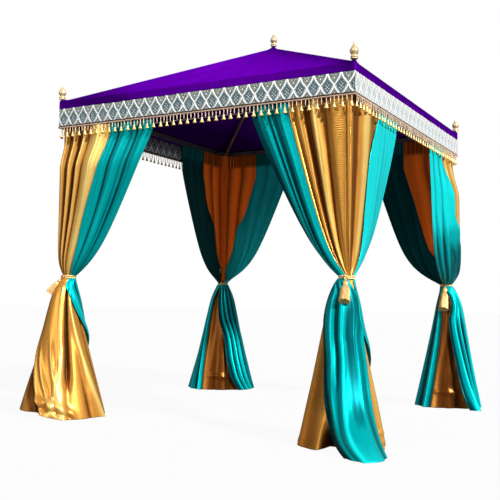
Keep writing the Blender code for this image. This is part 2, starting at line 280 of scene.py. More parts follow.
def build_piece(name: str, surfaces: list[Surface], materials: list[Material],
                node: str) -> Piece:
    """Put surfaces into one smooth mesh object that rides on the root and replaces a CAD node.

    Args:
        name: Object name.
        surfaces: Parts of the piece.
        materials: Materials by slot index.
        node: CAD node that the piece stands for.

    Returns:
        The new object, at the origin, with its place in its mesh.
    """
    starts = np.cumsum([0] + [len(s.points) for s in surfaces])
    points = np.concatenate([s.points for s in surfaces])
    quads = np.concatenate([s.quads + k for s, k in zip(surfaces, starts)])
    triangles = np.concatenate([s.triangles + k for s, k in zip(surfaces, starts)])
    corners = np.concatenate([quads.reshape(-1), triangles.reshape(-1)]).astype(np.int32)
    loop_start = np.concatenate([
        np.arange(len(quads)) * 4, len(quads) * 4 + np.arange(len(triangles)) * 3])
    slots = np.concatenate([np.full(len(s.quads), s.slot) for s in surfaces]
                           + [np.full(len(s.triangles), s.slot) for s in surfaces])
    mesh = bpy.data.meshes.new(name)
    mesh.vertices.add(len(points))
    mesh.vertices.foreach_set("co", points.astype(np.float32).reshape(-1))
    mesh.loops.add(len(corners))
    mesh.loops.foreach_set("vertex_index", corners)
    mesh.polygons.add(len(loop_start))
    mesh.polygons.foreach_set("loop_start", loop_start.astype(np.int32))
    mesh.polygons.foreach_set("material_index", slots.astype(np.int32))
    mesh.update(calc_edges=True)
    mesh.shade_smooth()
    uv = np.concatenate([np.zeros((len(s.points), 2)) if s.uv is None else s.uv for s in surfaces])
    layer = mesh.uv_layers.new(name="UVMap")
    layer.data.foreach_set("uv", uv[corners].astype(np.float32).reshape(-1))
    for key in sorted({k for s in surfaces for k in s.values}):
        value = np.concatenate([s.values.get(key, np.zeros(len(s.points))) for s in surfaces])
        mesh.attributes.new(key, "FLOAT", "POINT").data.foreach_set("value", value.astype(np.float32))
    mesh.validate()
    for material in materials:
        mesh.materials.append(material)
    piece = add_object(name, mesh)
    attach(piece, "root")
    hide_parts(node)
    return piece


def side_span(node: str, side: Side) -> tuple[float, float, float, float, float]:
    """Where a side's CAD node lies.

    Args:
        node: CAD node name.
        side: The side that it is on.

    Returns:
        Half its length, its outer and inner faces' distances from the middle, its foot and its top.
    """
    low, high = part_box(node)
    long = side.value % 2
    inner, outer = sorted((abs(low[1 - long]), abs(high[1 - long])))
    return high[long], outer, inner, low[2], high[2]


def grid_normals(points: Array) -> Array:
    """Unit normals of a grid of points, from the cross product of its two slopes."""
    across = np.gradient(points, axis=1)
    down = np.gradient(points, axis=0)
    normal = np.cross(across, down)
    return normal / np.maximum(np.linalg.norm(normal, axis=-1, keepdims=True), 1e-12)


def outward_normals(points: Array) -> Array:
    """Unit normals of a grid of points round the Z axis, turned away from that axis."""
    normals = grid_normals(points)
    out = points * [1.0, 1.0, 0.0]
    return normals * np.sign((normals * out).sum(-1).mean())


def turned_rings(profile: Array, sides: int) -> Array:
    """Rings of a turned shape round Z.

    Args:
        profile: Rows of (radius, height), from the top down.
        sides: Points in each ring.

    Returns:
        Array of rings by sides by 3.
    """
    angle = np.arange(sides) * TAU / sides
    radius, height = profile[:, :1], profile[:, 1:]
    return np.stack([radius * np.cos(angle), radius * np.sin(angle),
                     height + 0 * angle], -1)


def smooth_profile(knots: Pairs, steps: int) -> Array:
    """A smooth line through a few (radius, height) knots, by Catmull-Rom pieces.

    Args:
        knots: The knots, in order.
        steps: Points between two knots.

    Returns:
        Rows of (radius, height).
    """
    k = np.array(knots, float)
    k = np.concatenate([2 * k[:1] - k[1:2], k, 2 * k[-1:] - k[-2:-1]])
    a, b, c, d = (k[i:len(k) - 3 + i, None] for i in range(4))
    t = (np.arange(steps) / steps)[None, :, None]
    line = 0.5 * (2 * b + (c - a) * t + (2 * a - 5 * b + 4 * c - d) * t ** 2
                  + (3 * b - a - 3 * c + d) * t ** 3)
    line = np.concatenate([line.reshape(-1, 2), k[-2:-1]])
    line[:, 0] = np.maximum(line[:, 0], 1e-5)
    return line


def path_axes(path: Array) -> tuple[Array, Array]:
    """Two unit directions square to a path at each of its points, from cross products.

    Args:
        path: Array of points by 3.

    Returns:
        Sideways and upward directions, each points by 3.
    """
    along = np.gradient(path, axis=0)
    along /= np.linalg.norm(along, axis=1, keepdims=True)
    guide = np.where(np.abs(along[:, 2:]) > 0.9, [[1.0, 0.0, 0.0]], [[0.0, 0.0, 1.0]])
    side = np.cross(guide, along)
    side /= np.linalg.norm(side, axis=1, keepdims=True)
    return side, np.cross(along, side)


def carried_rings(path: Array, radius: float, sides: int) -> Array:
    """Rings of a round section carried along a path.

    Args:
        path: Array of points by 3.
        radius: Radius of the rings.
        sides: Points in each ring.

    Returns:
        Array of rings by sides by 3.
    """
    side, up = path_axes(path)
    angle = np.arange(sides) * TAU / sides
    ring = np.cos(angle)[None, :, None] * side[:, None] + np.sin(angle)[None, :, None] * up[:, None]
    return path[:, None] + radius * ring


class Graph:
    """Short names for adding and joining shader nodes in one node tree."""

    def __init__(self, tree: Tree) -> None:
        """Keep the tree that the nodes go into."""
        self.tree = tree

    def add(self, kind: str, **settings: object) -> bpy.types.Node:
        """Add a node of a kind and set its properties."""
        node = self.tree.nodes.new(kind)
        for key, value in settings.items():
            setattr(node, key, value)
        return node

    def put(self, source: object, socket: Socket) -> None:
        """Join a socket, or set a plain value or an opaque colour, on a socket."""
        if isinstance(source, Socket):
            self.tree.links.new(source, socket)
        elif source is not None:
            bare = socket.type == "RGBA" and len(source) == 3
            socket.default_value = (*source, 1.0) if bare else source

    def feed(self, node: bpy.types.Node, sources: dict[str, object]) -> bpy.types.NodeOutputs:
        """Join or set a node's inputs by name, and give its outputs."""
        for name, source in sources.items():
            self.put(source, node.inputs[name])
        return node.outputs

    def group(self, tree: Tree, **inputs: object) -> bpy.types.NodeOutputs:
        """Outputs of a group node with its inputs joined or set."""
        return self.feed(self.add("ShaderNodeGroup", node_tree=tree), inputs)

    def surface(self, factor: object, first: object, second: object) -> None:
        """Mix two shaders by a factor into the tree's surface."""
        both = self.add("ShaderNodeMixShader")
        for value, socket in zip((factor, first, second), both.inputs):
            self.put(value, socket)
        self.put(both.outputs[0], self.tree.nodes["Material Output"].inputs["Surface"])

    def math(self, operation: str, a: object, b: object = None, c: object = None,
             clamp: bool = False) -> Socket:
        """A Math node on sockets or numbers."""
        node = self.add("ShaderNodeMath", operation=operation, use_clamp=clamp)
        for value, socket in zip((a, b, c), node.inputs):
            self.put(value, socket)
        return node.outputs[0]

    def times(self, a: object, b: object, clamp: bool = False) -> Socket:
        """The product of two sockets or numbers."""
        return self.math("MULTIPLY", a, b, clamp=clamp)

    def ramp(self, value: object, low: float, high: float, to_low: float = 0.0,
             to_high: float = 1.0) -> Socket:
        """A smooth Map Range from low..high to to_low..to_high."""
        node = self.add("ShaderNodeMapRange", interpolation_type="SMOOTHSTEP")
        return self.feed(node, {"Value": value, "From Min": low, "From Max": high,
                                "To Min": to_low, "To Max": to_high})["Result"]

    def mix(self, factor: object, a: object, b: object) -> Socket:
        """A colour Mix node."""
        node = self.add("ShaderNodeMix", data_type="RGBA", blend_type="MIX")
        for value, socket in ((factor, node.inputs[0]), (a, node.inputs[6]), (b, node.inputs[7])):
            self.put(value, socket)
        return node.outputs[2]

    def noise(self, vector: object, scale: object, detail: float = 2.0, rough: float = 0.5) -> Socket:
        """A Noise Texture's value."""
        return self.feed(self.add("ShaderNodeTexNoise"), {
            "Vector": vector, "Scale": scale, "Detail": detail, "Roughness": rough})["Fac"]

    def stretch(self, vector: object, scale: Triple) -> Socket:
        """A Mapping node that only scales."""
        return self.feed(self.add("ShaderNodeMapping"), {"Vector": vector, "Scale": scale})["Vector"]

    def split(self, vector: object) -> bpy.types.NodeOutputs:
        """The X, Y and Z of a vector."""
        return self.feed(self.add("ShaderNodeSeparateXYZ"), {"Vector": vector})

    def value(self, name: str) -> Socket:
        """A point value of the mesh."""
        return self.add("ShaderNodeAttribute", attribute_name=name).outputs["Fac"]

    def uv(self) -> Socket:
        """The mesh's UV."""
        return self.add("ShaderNodeUVMap", uv_map="UVMap").outputs["UV"]

    def place(self) -> Socket:
        """The place on the object, in metres."""
        return self.add("ShaderNodeTexCoord").outputs["Object"]

    def seen(self) -> Socket:
        """1 where the camera looks straight at the surface, else 0."""
        return self.add("ShaderNodeLightPath").outputs["Is Camera Ray"]

    def bump(self, height: object, strength: float, distance: float) -> Socket:
        """A Bump node's normal."""
        return self.feed(self.add("ShaderNodeBump"), {
            "Height": height, "Strength": strength, "Distance": distance})["Normal"]


def begin_group(name: str, setting: str, value: float, outputs: tuple[str, ...]) -> Graph:
    """A shader node group that takes a place and one number, and gives a few numbers.

    Args:
        name: Group name.
        setting: Name of the number.
        value: The number's default.
        outputs: Names of what it gives.

    Returns:
        The group's graph, with its Group Input and Group Output nodes added.
    """
    group = bpy.data.node_groups.new(name, "ShaderNodeTree")
    sockets = group.interface
    sockets.new_socket("Place", in_out="INPUT", socket_type="NodeSocketVector")
    number = sockets.new_socket(setting, in_out="INPUT", socket_type="NodeSocketFloat")
    number.default_value = value
    for label in outputs:
        sockets.new_socket(label, in_out="OUTPUT", socket_type="NodeSocketFloat")
    group.nodes.new("NodeGroupInput")
    group.nodes.new("NodeGroupOutput")
    return Graph(group)


def weave_group() -> Tree:
    """Long satin floats: fine streaks along the warp, crossed by a faint weft, and slow slubs.

    Returns:
        A group that takes a place on the cloth in metres and gives Height, Streak and Slub values.
    """
    g = begin_group("Satin weave", "Thread", 0.0011, ("Height", "Streak", "Slub"))
    source = g.tree.nodes["Group Input"].outputs
    rate = g.math("DIVIDE", 1.0, source["Thread"])
    split = g.split(source["Place"])
    warp = g.times(split["X"], rate)
    weft = g.times(split["Y"], g.times(rate, 0.05))
    place = g.feed(g.add("ShaderNodeCombineXYZ"), {"X": warp, "Y": weft})
    streak = g.noise(place[0], 1.0, 2.0, 0.6)
    slub = g.noise(g.stretch(source["Place"], (9.0, 2.2, 1.0)), 1.0, 3.0, 0.55)
    height = g.math("MULTIPLY_ADD", slub, 0.4, streak)
    g.feed(g.tree.nodes["Group Output"], {"Height": height, "Streak": streak, "Slub": slub})
    return g.tree


def dust_group() -> Tree:
    """Dust and rubbed edges: hollows hold dust, high edges are rubbed, with a slow cloudy spread.

    Returns:
        A group that takes a place in metres and gives Dust, Rub and Grain values.
    """
    g = begin_group("Dust and rub", "Size", 30.0, ("Dust", "Rub", "Grain"))
    source = g.tree.nodes["Group Input"].outputs
    cloud = g.noise(source["Place"], source["Size"], 4.0, 0.6)
    point = g.add("ShaderNodeNewGeometry").outputs["Pointiness"]
    dust = g.times(g.ramp(point, 0.50, 0.44), g.ramp(cloud, 0.35, 0.65), clamp=True)
    rub = g.times(g.ramp(point, 0.52, 0.60), g.ramp(cloud, 0.30, 0.60), clamp=True)
    grain = g.noise(source["Place"], 900.0, 2.0, 0.5)
    g.feed(g.tree.nodes["Group Output"], {"Dust": dust, "Rub": rub, "Grain": grain})
    return g.tree


def begin_material(name: str) -> tuple[Material, Graph, bpy.types.Node]:
    """A material with a Principled shader, its graph and that shader."""
    material = bpy.data.materials.new(name)
    material.use_nodes = True
    shader = material.node_tree.nodes["Principled BSDF"]
    return material, Graph(material.node_tree), shader


def scaled(colour: Triple, by: float) -> tuple[float, ...]:
    """A colour times a number."""
    return tuple(by * c for c in colour)


@dataclass(frozen=True)
class Satin:
    """A satin finish: three colours from fold valley to crest, and how it shines and lets light by."""

    name: str
    # The valley colour is painted shade and the colour after the body is painted highlight; the body is
    # the cloth's own colour.
    valley: Triple
    body: Triple
    crest: Triple
    glow: Triple
    # Colour of the inner face as painted backlight, and the strength of its painted glow.
    lining: Triple
    painted_glow: float = 0.12
    gloss: float = 0.45
    roughness: float = 0.34
    metallic: float = 0.35
    through: float = 0.20
    sheen: float = 0.25

    def material(self, weave: Tree) -> Material:
        """Build the material.

        Args:
            weave: The satin weave group.

        Returns:
            A Principled shader mixed with a little light let through the cloth.
        """
        material, g, shader = begin_material(self.name)
        cloth = g.group(weave, Place=g.uv())
        # Painted shade and highlight: each point's fold light value picks the colour. It runs from the
        # valley colour, darkened further as painted deep shade, to the highlight colour on fold tops.
        fold = g.value("crest")
        slow = g.math("MULTIPLY_ADD", cloth["Slub"], 0.5, g.math("SUBTRACT", fold, 0.25))
        deep = g.mix(g.ramp(slow, -0.45, 0.08), scaled(self.valley, 0.30), self.valley)
        low = g.mix(g.ramp(slow, 0.05, 0.55), deep, self.body)
        colour = g.mix(g.ramp(slow, 0.60, 1.10), low, self.crest)
        # Painted sheen: the weave's streaks are lightened towards the highlight colour where the folds
        # are painted light.
        streaks = g.times(g.ramp(slow, 0.0, 0.5), 0.14)
        sheen_streaked = g.mix(g.times(g.ramp(cloth["Streak"], 0.35, 0.75), streaks), colour, self.crest)
        # Inner face: a painted backlit colour, shaded by the fold light value, that also glows as painted
        # light by emission. The inner face is rougher too.
        back = g.value("lining")
        inner = g.mix(g.ramp(slow, -0.35, 1.15), scaled(self.lining, 0.15), scaled(self.lining, 1.45))
        face = g.mix(back, sheen_streaked, inner)
        light = g.mix(back, (0.0, 0.0, 0.0), inner)
        matt = g.ramp(cloth["Slub"], 0.3, 0.7, self.roughness - 0.04, self.roughness + 0.07)
        matt = g.math("MULTIPLY_ADD", back, 0.20, matt)
        g.feed(shader, {
            "Base Color": face, "Emission Color": light, "Emission Strength": self.painted_glow,
            "Roughness": matt, "Metallic": self.metallic, "Specular IOR Level": self.gloss,
            "Specular Tint": self.crest, "Sheen Weight": self.sheen, "Sheen Roughness": 0.45,
            "Sheen Tint": self.crest, "Normal": g.bump(cloth["Height"], 0.30, 0.0006)})
        translucent = g.add("ShaderNodeBsdfTranslucent")
        g.put(g.mix(0.55, sheen_streaked, self.glow), translucent.inputs["Color"])
        g.surface(self.through, shader.outputs[0], translucent.outputs[0])
        return material


# In each satin the valley colour is painted shade, the colour after the body is painted highlight, and
# the last colour is the inner face's painted backlight and glow. The fourth colour is that of light let
# through.
GOLD_SATIN = Satin("gold_satin", (0.17, 0.042, 0.005), (0.66, 0.295, 0.048), (1.0, 0.76, 0.24),
                   (0.75, 0.12, 0.01), (0.80, 0.16, 0.016), roughness=0.30, metallic=0.50, through=0.14)
TEAL_SATIN = Satin("teal_satin", (0.0, 0.045, 0.060), (0.0, 0.35, 0.375), (0.005, 0.76, 0.80),
                   (0.0, 0.26, 0.26), (0.005, 0.22, 0.24), roughness=0.32, through=0.08)
PURPLE_SATIN = Satin("purple_satin", (0.034, 0.0, 0.130), (0.080, 0.0, 0.290), (0.150, 0.001, 0.47),
                     (0.06, 0.0, 0.16), (0.05, 0.0, 0.12), painted_glow=0.05, gloss=0.0, roughness=0.50,
                     metallic=0.0, through=0.03, sheen=0.0)


def ogee_half_width(height: Array) -> Array:
    """Half width of a border medallion, in pitches, at each share of the border's height.

    It is widest at the waist. Below, it closes in a round foot, a power curve of a power curve.
    Above, it narrows in a hollow ogee, a power curve, to a slim neck.

    Args:
        height: Share of the border's height, 0 at the bottom.

    Returns:
        Half widths, 0.5 at the waist.
    """
    h = np.asarray(height, float)
    waist = Border.WAIST
    below = np.clip((waist - h) / waist, 0.0, 1.0)
    above = np.clip((1.0 - h) / (1.0 - waist), 0.0, 1.0)
    foot = 0.5 * (1.0 - below ** 1.5) ** 0.75
    neck = 0.03 + 0.47 * above ** 1.55
    return np.where(h < waist, foot, neck)


@dataclass(frozen=True)
class Border:
    """The woven border: an ogee lattice of medallions on a damask ground.

    The waist is where a medallion is widest, as a share of the height. The border is as tall as
    TALL repeats are long. Motifs are rows of place across in repeats, share of the height and size.
    """

    repeats: float = 25.5
    thickness: float = 0.0036
    relief: float = 0.0011
    sway: float = 0.0006
    line: float = 0.050
    columns_per_repeat: int = 26
    rows: int = 30
    WAIST = 0.47
    TALL = 1.46
    MOTIFS = ((0.5, 0.79, 0.060), (0.0, 0.39, 0.046), (0.115, 0.31, 0.040), (0.115, 0.47, 0.036),
              (0.0, 0.23, 0.040), (0.0, 0.56, 0.030), (0.39, 0.92, 0.036), (0.5, 0.10, 0.026))

    def relief_at(self, along: Array, height: Array) -> Array:
        """Raised lattice lines and softly domed medallions, from the distance to the ogee line."""
        across = np.abs(along - np.round(along))
        off = np.abs(across - ogee_half_width(height))
        lines = 1.0 - ease(self.line * 0.7, self.line * 1.7, off)
        dome = ease(0.0, 0.16, ogee_half_width(height) - across)
        return lines + 0.45 * dome

    def build(self, side: Side, material: Material) -> Piece:
        """Make one side's border strip, face towards the outside, with a plain back.

        Args:
            side: Which side of the cabana.
            material: The woven finish, which is painted paler on the right side's strip, as painted
                sunlight.

        Returns:
            The piece.
        """
        half, face, _, foot, top = side_span(f"border_{side.label}", side)
        u = np.linspace(0.0, 1.0, int(self.repeats * self.columns_per_repeat) + 1)
        v = np.linspace(0.0, 1.0, self.rows)
        share, height = np.meshgrid(u, v, indexing="ij")
        along = share * self.repeats + 0.5
        sway = self.sway * ripples(side.value + 40, 4, (1.0, 6.0), share)
        out = face - self.relief * 1.4 + self.relief * self.relief_at(along, height) + sway * height
        front = np.stack([half * (2 * share - 1.0), -out, foot + height * (top - foot)], -1)
        back = front[:, [-1, 0]].copy()
        back[..., 1] = self.thickness - face
        uv = np.stack([along, height], -1)
        rings = np.concatenate([front, back], axis=1)
        # The right side's strip is marked for painted sunlight.
        bleached = np.full(rings.shape[:2], 1.0 if side is Side.RIGHT else 0.0)
        strip = Surface.tube(rings, np.concatenate([uv, uv[:, [-1, 0]]], axis=1),
                             values={"bleached": bleached})
        piece = build_piece(f"border_strip_{side.label}", [strip.turned(side)], [material],
                            f"border_{side.label}")
        return piece

    def material(self) -> Material:
        """Silver lattice on a teal-grey damask ground, with dotted motifs, from the piece's UV."""
        material, g, shader = begin_material("woven_border")
        uv = g.uv()
        split = g.split(uv)
        across, height = g.math("PINGPONG", split["X"], 0.5), split["Y"]
        curve = g.add("ShaderNodeFloatCurve")
        line = curve.mapping.curves[0]
        knots = np.array([0.0, 0.03, 0.08, 0.16, 0.28, 0.40, self.WAIST, 0.52, 0.60, 0.72, 0.86, 1.0])
        while len(line.points) < len(knots):
            line.points.new(0.5, 0.5)
        for point, h, w in zip(line.points, knots, ogee_half_width(knots)):
            point.location = (h, w)
            point.handle_type = "AUTO_CLAMPED"
        curve.mapping.update()
        inside = g.math("SUBTRACT", g.feed(curve, {"Value": height})["Value"], across)
        lattice = g.ramp(g.math("ABSOLUTE", inside), self.line * 1.7, self.line * 0.7)
        inner = g.ramp(g.math("ABSOLUTE", g.math("SUBTRACT", inside, 0.13)), 0.035, 0.012)
        inner = g.times(inner, g.ramp(height, 0.52, 0.40))
        medallion = g.ramp(inside, 0.0, 0.03)
        core = g.times(g.ramp(inside, 0.10, 0.19), g.ramp(height, 0.92, 0.78))
        dots = self.dots(g, across, height)
        damask = g.noise(g.stretch(uv, (11.0, 9.0, 1.0)), 1.6, 4.0, 0.65)
        ground = g.mix(g.ramp(damask, 0.38, 0.62), (0.025, 0.040, 0.038), (0.42, 0.49, 0.46))
        filled = g.mix(g.ramp(damask, 0.35, 0.65), (0.035, 0.10, 0.125), (0.42, 0.62, 0.68))
        colour = g.mix(medallion, ground, filled)
        colour = g.mix(g.times(core, 0.60), colour, (0.006, 0.022, 0.030))
        colour = g.mix(g.times(inner, 0.8), colour, (0.72, 0.82, 0.88))
        cloud = g.noise(g.stretch(uv, (1.7, 2.0, 1.0)), 2.0)
        blush = g.mix(cloud, (1.0, 0.91, 0.94), (0.93, 0.99, 1.0))
        colour = g.mix(g.math("MAXIMUM", lattice, g.times(dots, 0.9)), colour, blush)
        # Painted sunlight: the right side's strip is mixed towards a pale colour.
        pale = g.mix(0.45, blush, (0.80, 0.86, 0.90))
        colour = g.mix(g.times(g.value("bleached"), 0.36), colour, pale)
        colour = g.mix(g.ramp(height, 0.085, 0.045), colour, (0.050, 0.030, 0.020))
        rough, metal = g.ramp(lattice, 0.0, 1.0, 0.55, 0.33), g.ramp(lattice, 0.0, 1.0, 0.10, 0.35)
        threads = g.add("ShaderNodeTexWave", wave_type="BANDS", bands_direction="DIAGONAL")
        wave = g.feed(threads, {"Vector": g.stretch(uv, (16.0, 22.0, 1.0)), "Scale": 1.0})["Fac"]
        raised = g.math("MULTIPLY_ADD", wave, 0.10, g.math("ADD", lattice, dots))
        g.feed(shader, {"Base Color": colour, "Roughness": rough, "Metallic": metal,
                        "Sheen Weight": 0.04, "Sheen Roughness": 0.4, "Specular IOR Level": 0.25,
                        "Normal": g.bump(raised, 0.5, 0.0010)})
        return material

    def dots(self, g: Graph, across: object, height: object) -> Socket:
        """Mask of small round motifs, each from the distance to its centre in the repeat.

        Args:
            g: The border's graph.
            across: Distance from the medallion's middle, in repeats.
            height: Share of the border's height.

        Returns:
            1 in a motif, else 0.
        """
        total = None
        for a, h, size in self.MOTIFS:
            da = g.math("SUBTRACT", across, a)
            dh = g.times(g.math("SUBTRACT", height, h), self.TALL)
            far = g.math("SQRT", g.math("ADD", g.times(da, da), g.times(dh, dh)))
            dot = g.ramp(far, size * 1.3, size * 0.7)
            total = dot if total is None else g.math("MAXIMUM", total, dot)
        return total


@dataclass(frozen=True)
class ThreadFinish:
    """A metallic thread finish for braid, strings, tassels and rope."""

    name: str
    deep: Triple
    light: Triple
    pitch: float = 0.0022
    metallic: float = 0.45
    roughness: float = 0.38

    def material(self, weave: Tree) -> Material:
        """Threads in two tones with a fine bump and a metallic sheen. The mix of the tones also follows
        the point's painted light value, as painted highlight and painted shade.

        Args:
            weave: The satin weave group, used here at thread size.

        Returns:
            The material.
        """
        material, g, shader = begin_material(self.name)
        threads = g.group(weave, Place=g.place(), Thread=self.pitch)
        # The lighter tone follows the weave streaks and the point's fold light value, which is painted
        # highlight and shade.
        fold = g.value("crest")
        tone = g.math("MULTIPLY_ADD", threads["Streak"], 0.9, g.times(fold, 0.6))
        colour = g.mix(g.ramp(tone, 0.35, 0.95), self.deep, self.light)
        rough = g.ramp(threads["Slub"], 0.3, 0.7, self.roughness - 0.05, self.roughness + 0.10)
        g.feed(shader, {"Base Color": colour, "Roughness": rough, "Metallic": self.metallic,
                        "Sheen Weight": 0.25, "Sheen Roughness": 0.4, "Specular Tint": self.light,
                        "Normal": g.bump(threads["Streak"], 0.5, 0.0008)})
        return material


BRAID = ThreadFinish("gold_braid", (0.36, 0.20, 0.13), (0.86, 0.64, 0.50), metallic=0.25)
PIPING = ThreadFinish("brown_piping", (0.05, 0.022, 0.012), (0.16, 0.08, 0.04), metallic=0.1)
STRINGS = ThreadFinish("fringe_strings", (0.30, 0.18, 0.11), (0.84, 0.68, 0.50), metallic=0.1)
BELLS = ThreadFinish("bell_tassels", (0.68, 0.43, 0.13), (1.0, 0.90, 0.50), pitch=0.0014, metallic=0.2)
ROPE = ThreadFinish("gold_rope", (0.34, 0.16, 0.035), (0.90, 0.62, 0.27), pitch=0.0010)


@dataclass(frozen=True)
class Fringe:
    """The trim under the border: dark piping, a twisted braid, strings and small bell tassels.

    Stem, string and swag are the thread radii above a tassel, between two and from one to the next.
    Stray is how far a tassel may stand off its even place, along the side and across it.
    """

    tassels: int = 42
    bell_height: float = 0.038
    braid_height: float = 0.011
    braid_depth: float = 0.0048
    twist: float = 0.012
    piping_radius: float = 0.0024
    stem: float = 0.0032
    string: float = 0.0036
    string_drop: tuple[float, float] = (0.036, 0.042)
    swag: float = 0.0009
    swag_drop: float = 0.006
    sizes: tuple[float, float] = (0.93, 1.06)
    stray: tuple[float, float] = (0.0035, 0.0015)
    BELL = ((0.0004, 0.0), (0.0042, -0.0012), (0.0056, -0.0045), (0.0040, -0.0080), (0.0048, -0.0100),
            (0.0078, -0.0180), (0.0116, -0.0270), (0.0152, -0.0345), (0.0165, -0.0372),
            (0.0158, -0.0380), (0.0090, -0.0360))

    def braid(self, half: float, face: float, top: float) -> Surface:
        """A flattened tube along the side, ridged by a slanted wave as a two-strand twist is."""
        x = np.linspace(-half, half, int(2 * half / self.twist * 5) + 1)[:, None]
        angle = (np.arange(10) * TAU / 10)[None, :]
        ridge = 1.0 + 0.16 * np.sin(TAU * x / self.twist + angle)
        y = -face + self.braid_depth * ridge * np.cos(angle)
        z = top - self.braid_height / 2 + self.braid_height / 2 * ridge * np.sin(angle)
        # Painted light: the twist's ridges are lighter and its hollows darker.
        crest = 0.5 + 3.0 * (ridge - 1.0) + 0 * angle
        return Surface.tube(np.stack([x + 0 * angle, y, z], -1), values={"crest": crest}, slot=0)

    def piping(self, half: float, face: float, top: float) -> Surface:
        """A thin dark cord along the foot of the border."""
        x = np.linspace(-half, half, 40)
        path = np.stack([x, np.full_like(x, -face), np.full_like(x, top)], -1)
        return Surface.tube(carried_rings(path, self.piping_radius, 8), slot=1)

    def threads(self, starts: Array, ends: Array, radius: float, sag: float = 0.0) -> Surface:
        """Four-sided threads between pairs of points, each sagging as a shallow parabola.

        Args:
            starts: Upper points, threads by 3.
            ends: Lower points, threads by 3.
            radius: Thread radius.
            sag: Drop of the middle of each thread.

        Returns:
            One surface with every thread.
        """
        t = np.linspace(0.0, 1.0, 6)[None, :, None]
        path = starts[:, None] + (ends - starts)[:, None] * t
        path = path - np.array([0.0, 0.0, sag]) * 4 * t * (1 - t)
        ring = np.array([[0, 1, 0], [0, 0, 1], [0, -1, 0], [0, 0, -1]] if sag
                        else [[1, 0, 0], [0, 1, 0], [-1, 0, 0], [0, -1, 0]], float) * radius
        points = path[:, :, None] + ring
        one = Surface.tube(points[0], values={"crest": np.full(points.shape[1:3], 0.6)}, slot=2)
        caps = points[:, [0, -1]].mean(axis=2)
        return one.repeated(np.concatenate([points.reshape(len(starts), -1, 3), caps], axis=1))

    def bells(self, heads: Array, scales: Array) -> Surface:
        """Small tassels: a knot and a bell skirt, turned from one profile."""
        rings = turned_rings(np.array(self.BELL), 8)
        flute = 1.0 + 0.07 * np.cos(4 * np.arange(8) * TAU / 8)[None, :, None] * ease(
            -0.008, -0.034, rings[:, :1, 2:])
        rings = rings * np.concatenate([flute, 0.66 * flute, np.ones_like(flute)], -1)
        # Painted shade: each bell is darker towards its rim.
        one = Surface.tube(rings, values={"crest": ease(-0.040, -0.004, rings[..., 2])}, slot=3)
        return one.repeated(one.points[None] * scales[:, None, None] + heads[:, None])

    def build(self, side: Side, materials: list[Material]) -> Piece:
        """Make one side's fringe.

        Args:
            side: Which side of the cabana.
            materials: Braid, piping, string and bell finishes.

        Returns:
            The piece.
        """
        half, outer, inner, foot, top = side_span(f"fringe_{side.label}", side)
        face = (outer + inner) / 2
        random = np.random.default_rng(70 + side.value)
        pitch = 2 * half / self.tassels
        x = -half + pitch * (np.arange(self.tassels) + 0.5)
        along, across = self.stray
        x = x + random.uniform(-along, along, self.tassels)
        scale = random.uniform(*self.sizes, self.tassels)
        drop = foot + self.bell_height * scale + random.uniform(0.0, 0.003, self.tassels)
        out = -face + random.uniform(-across, across, self.tassels)
        heads = np.stack([x, out, drop], -1)
        starts = heads.copy()
        starts[:, 2] = top - self.braid_height + 0.002
        beside = starts + np.array([pitch / 2, 0.0, 0.0])
        beside = beside[beside[:, 0] < half - 0.004]
        ends = beside - np.array([0.0, 0.0, 1.0]) * random.uniform(*self.string_drop, (len(beside), 1))
        low = heads - [0, 0, 0.004]
        parts = [self.braid(half, face, top), self.piping(half, face + 0.0028, top + 0.001),
                 self.bells(heads, scale), self.threads(starts, heads, self.stem),
                 self.threads(beside, ends, self.string),
                 self.threads(low[:-1], low[1:], self.swag, self.swag_drop)]
        return build_piece(f"fringe_trim_{side.label}", [p.turned(side) for p in parts], materials,
                           f"fringe_{side.label}")


@dataclass(frozen=True)
class Finial:
    """A turned finial: stepped foot ring, neck, onion bulb and long spike."""

    sides: int = 56
    stem: float = 0.005
    knots: Pairs = (
        (0.0, 0.1180), (0.0022, 0.1165), (0.0048, 0.1080), (0.0062, 0.1020), (0.0068, 0.0985),
        (0.0085, 0.0940), (0.0120, 0.0860), (0.0175, 0.0775), (0.0250, 0.0655), (0.0288, 0.0545),
        (0.0278, 0.0440), (0.0225, 0.0345), (0.0172, 0.0290), (0.0165, 0.0262), (0.0200, 0.0225),
        (0.0238, 0.0180), (0.0246, 0.0135), (0.0225, 0.0090), (0.0212, 0.0070), (0.0232, 0.0050),
        (0.0235, 0.0022), (0.0215, 0.0004), (0.0, 0.0003),
    )

    def build(self, node: str, material: Material) -> Piece:
        """Make the finial that stands for a CAD node, on that node's axis and seat.

        Args:
            node: CAD node name.
            material: The gilded finish.

        Returns:
            The piece.
        """
        low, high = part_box(node)
        seat = high[2] - self.knots[0][1]
        rings = turned_rings(smooth_profile(self.knots, 5), self.sides)
        centre = np.array([(low[0] + high[0]) / 2, (low[1] + high[1]) / 2, seat])
        stem = turned_rings(np.array([(self.stem, 0.001), (self.stem, low[2] - seat)]), 12)
        parts = [Surface.tube(rings + centre), Surface.tube(stem + centre)]
        return build_piece(f"{node}_turned", parts, [material], node)

    @staticmethod
    def material(dust: Tree) -> Material:
        """Cream-gold gilding: gloss over a warm ground, rubbed on the bulb, browned in the grooves."""
        material, g, shader = begin_material("gilded_resin")
        place = g.place()
        wear = g.group(dust, Place=place, Size=60.0)
        mottled = g.mix(g.noise(place, 45.0, 3.0), (0.80, 0.58, 0.25), (0.93, 0.76, 0.45))
        rubbed = g.mix(g.times(wear["Rub"], 0.5), mottled, (0.98, 0.90, 0.70))
        colour = g.mix(g.times(wear["Dust"], 0.8), rubbed, (0.36, 0.20, 0.07))
        rough = g.ramp(wear["Grain"], 0.3, 0.7, 0.20, 0.34)
        g.feed(shader, {"Base Color": colour, "Roughness": rough, "Metallic": 0.45, "Coat Weight": 0.4,
                        "Coat Roughness": 0.12, "Normal": g.bump(wear["Grain"], 0.12, 0.0004)})
        return material


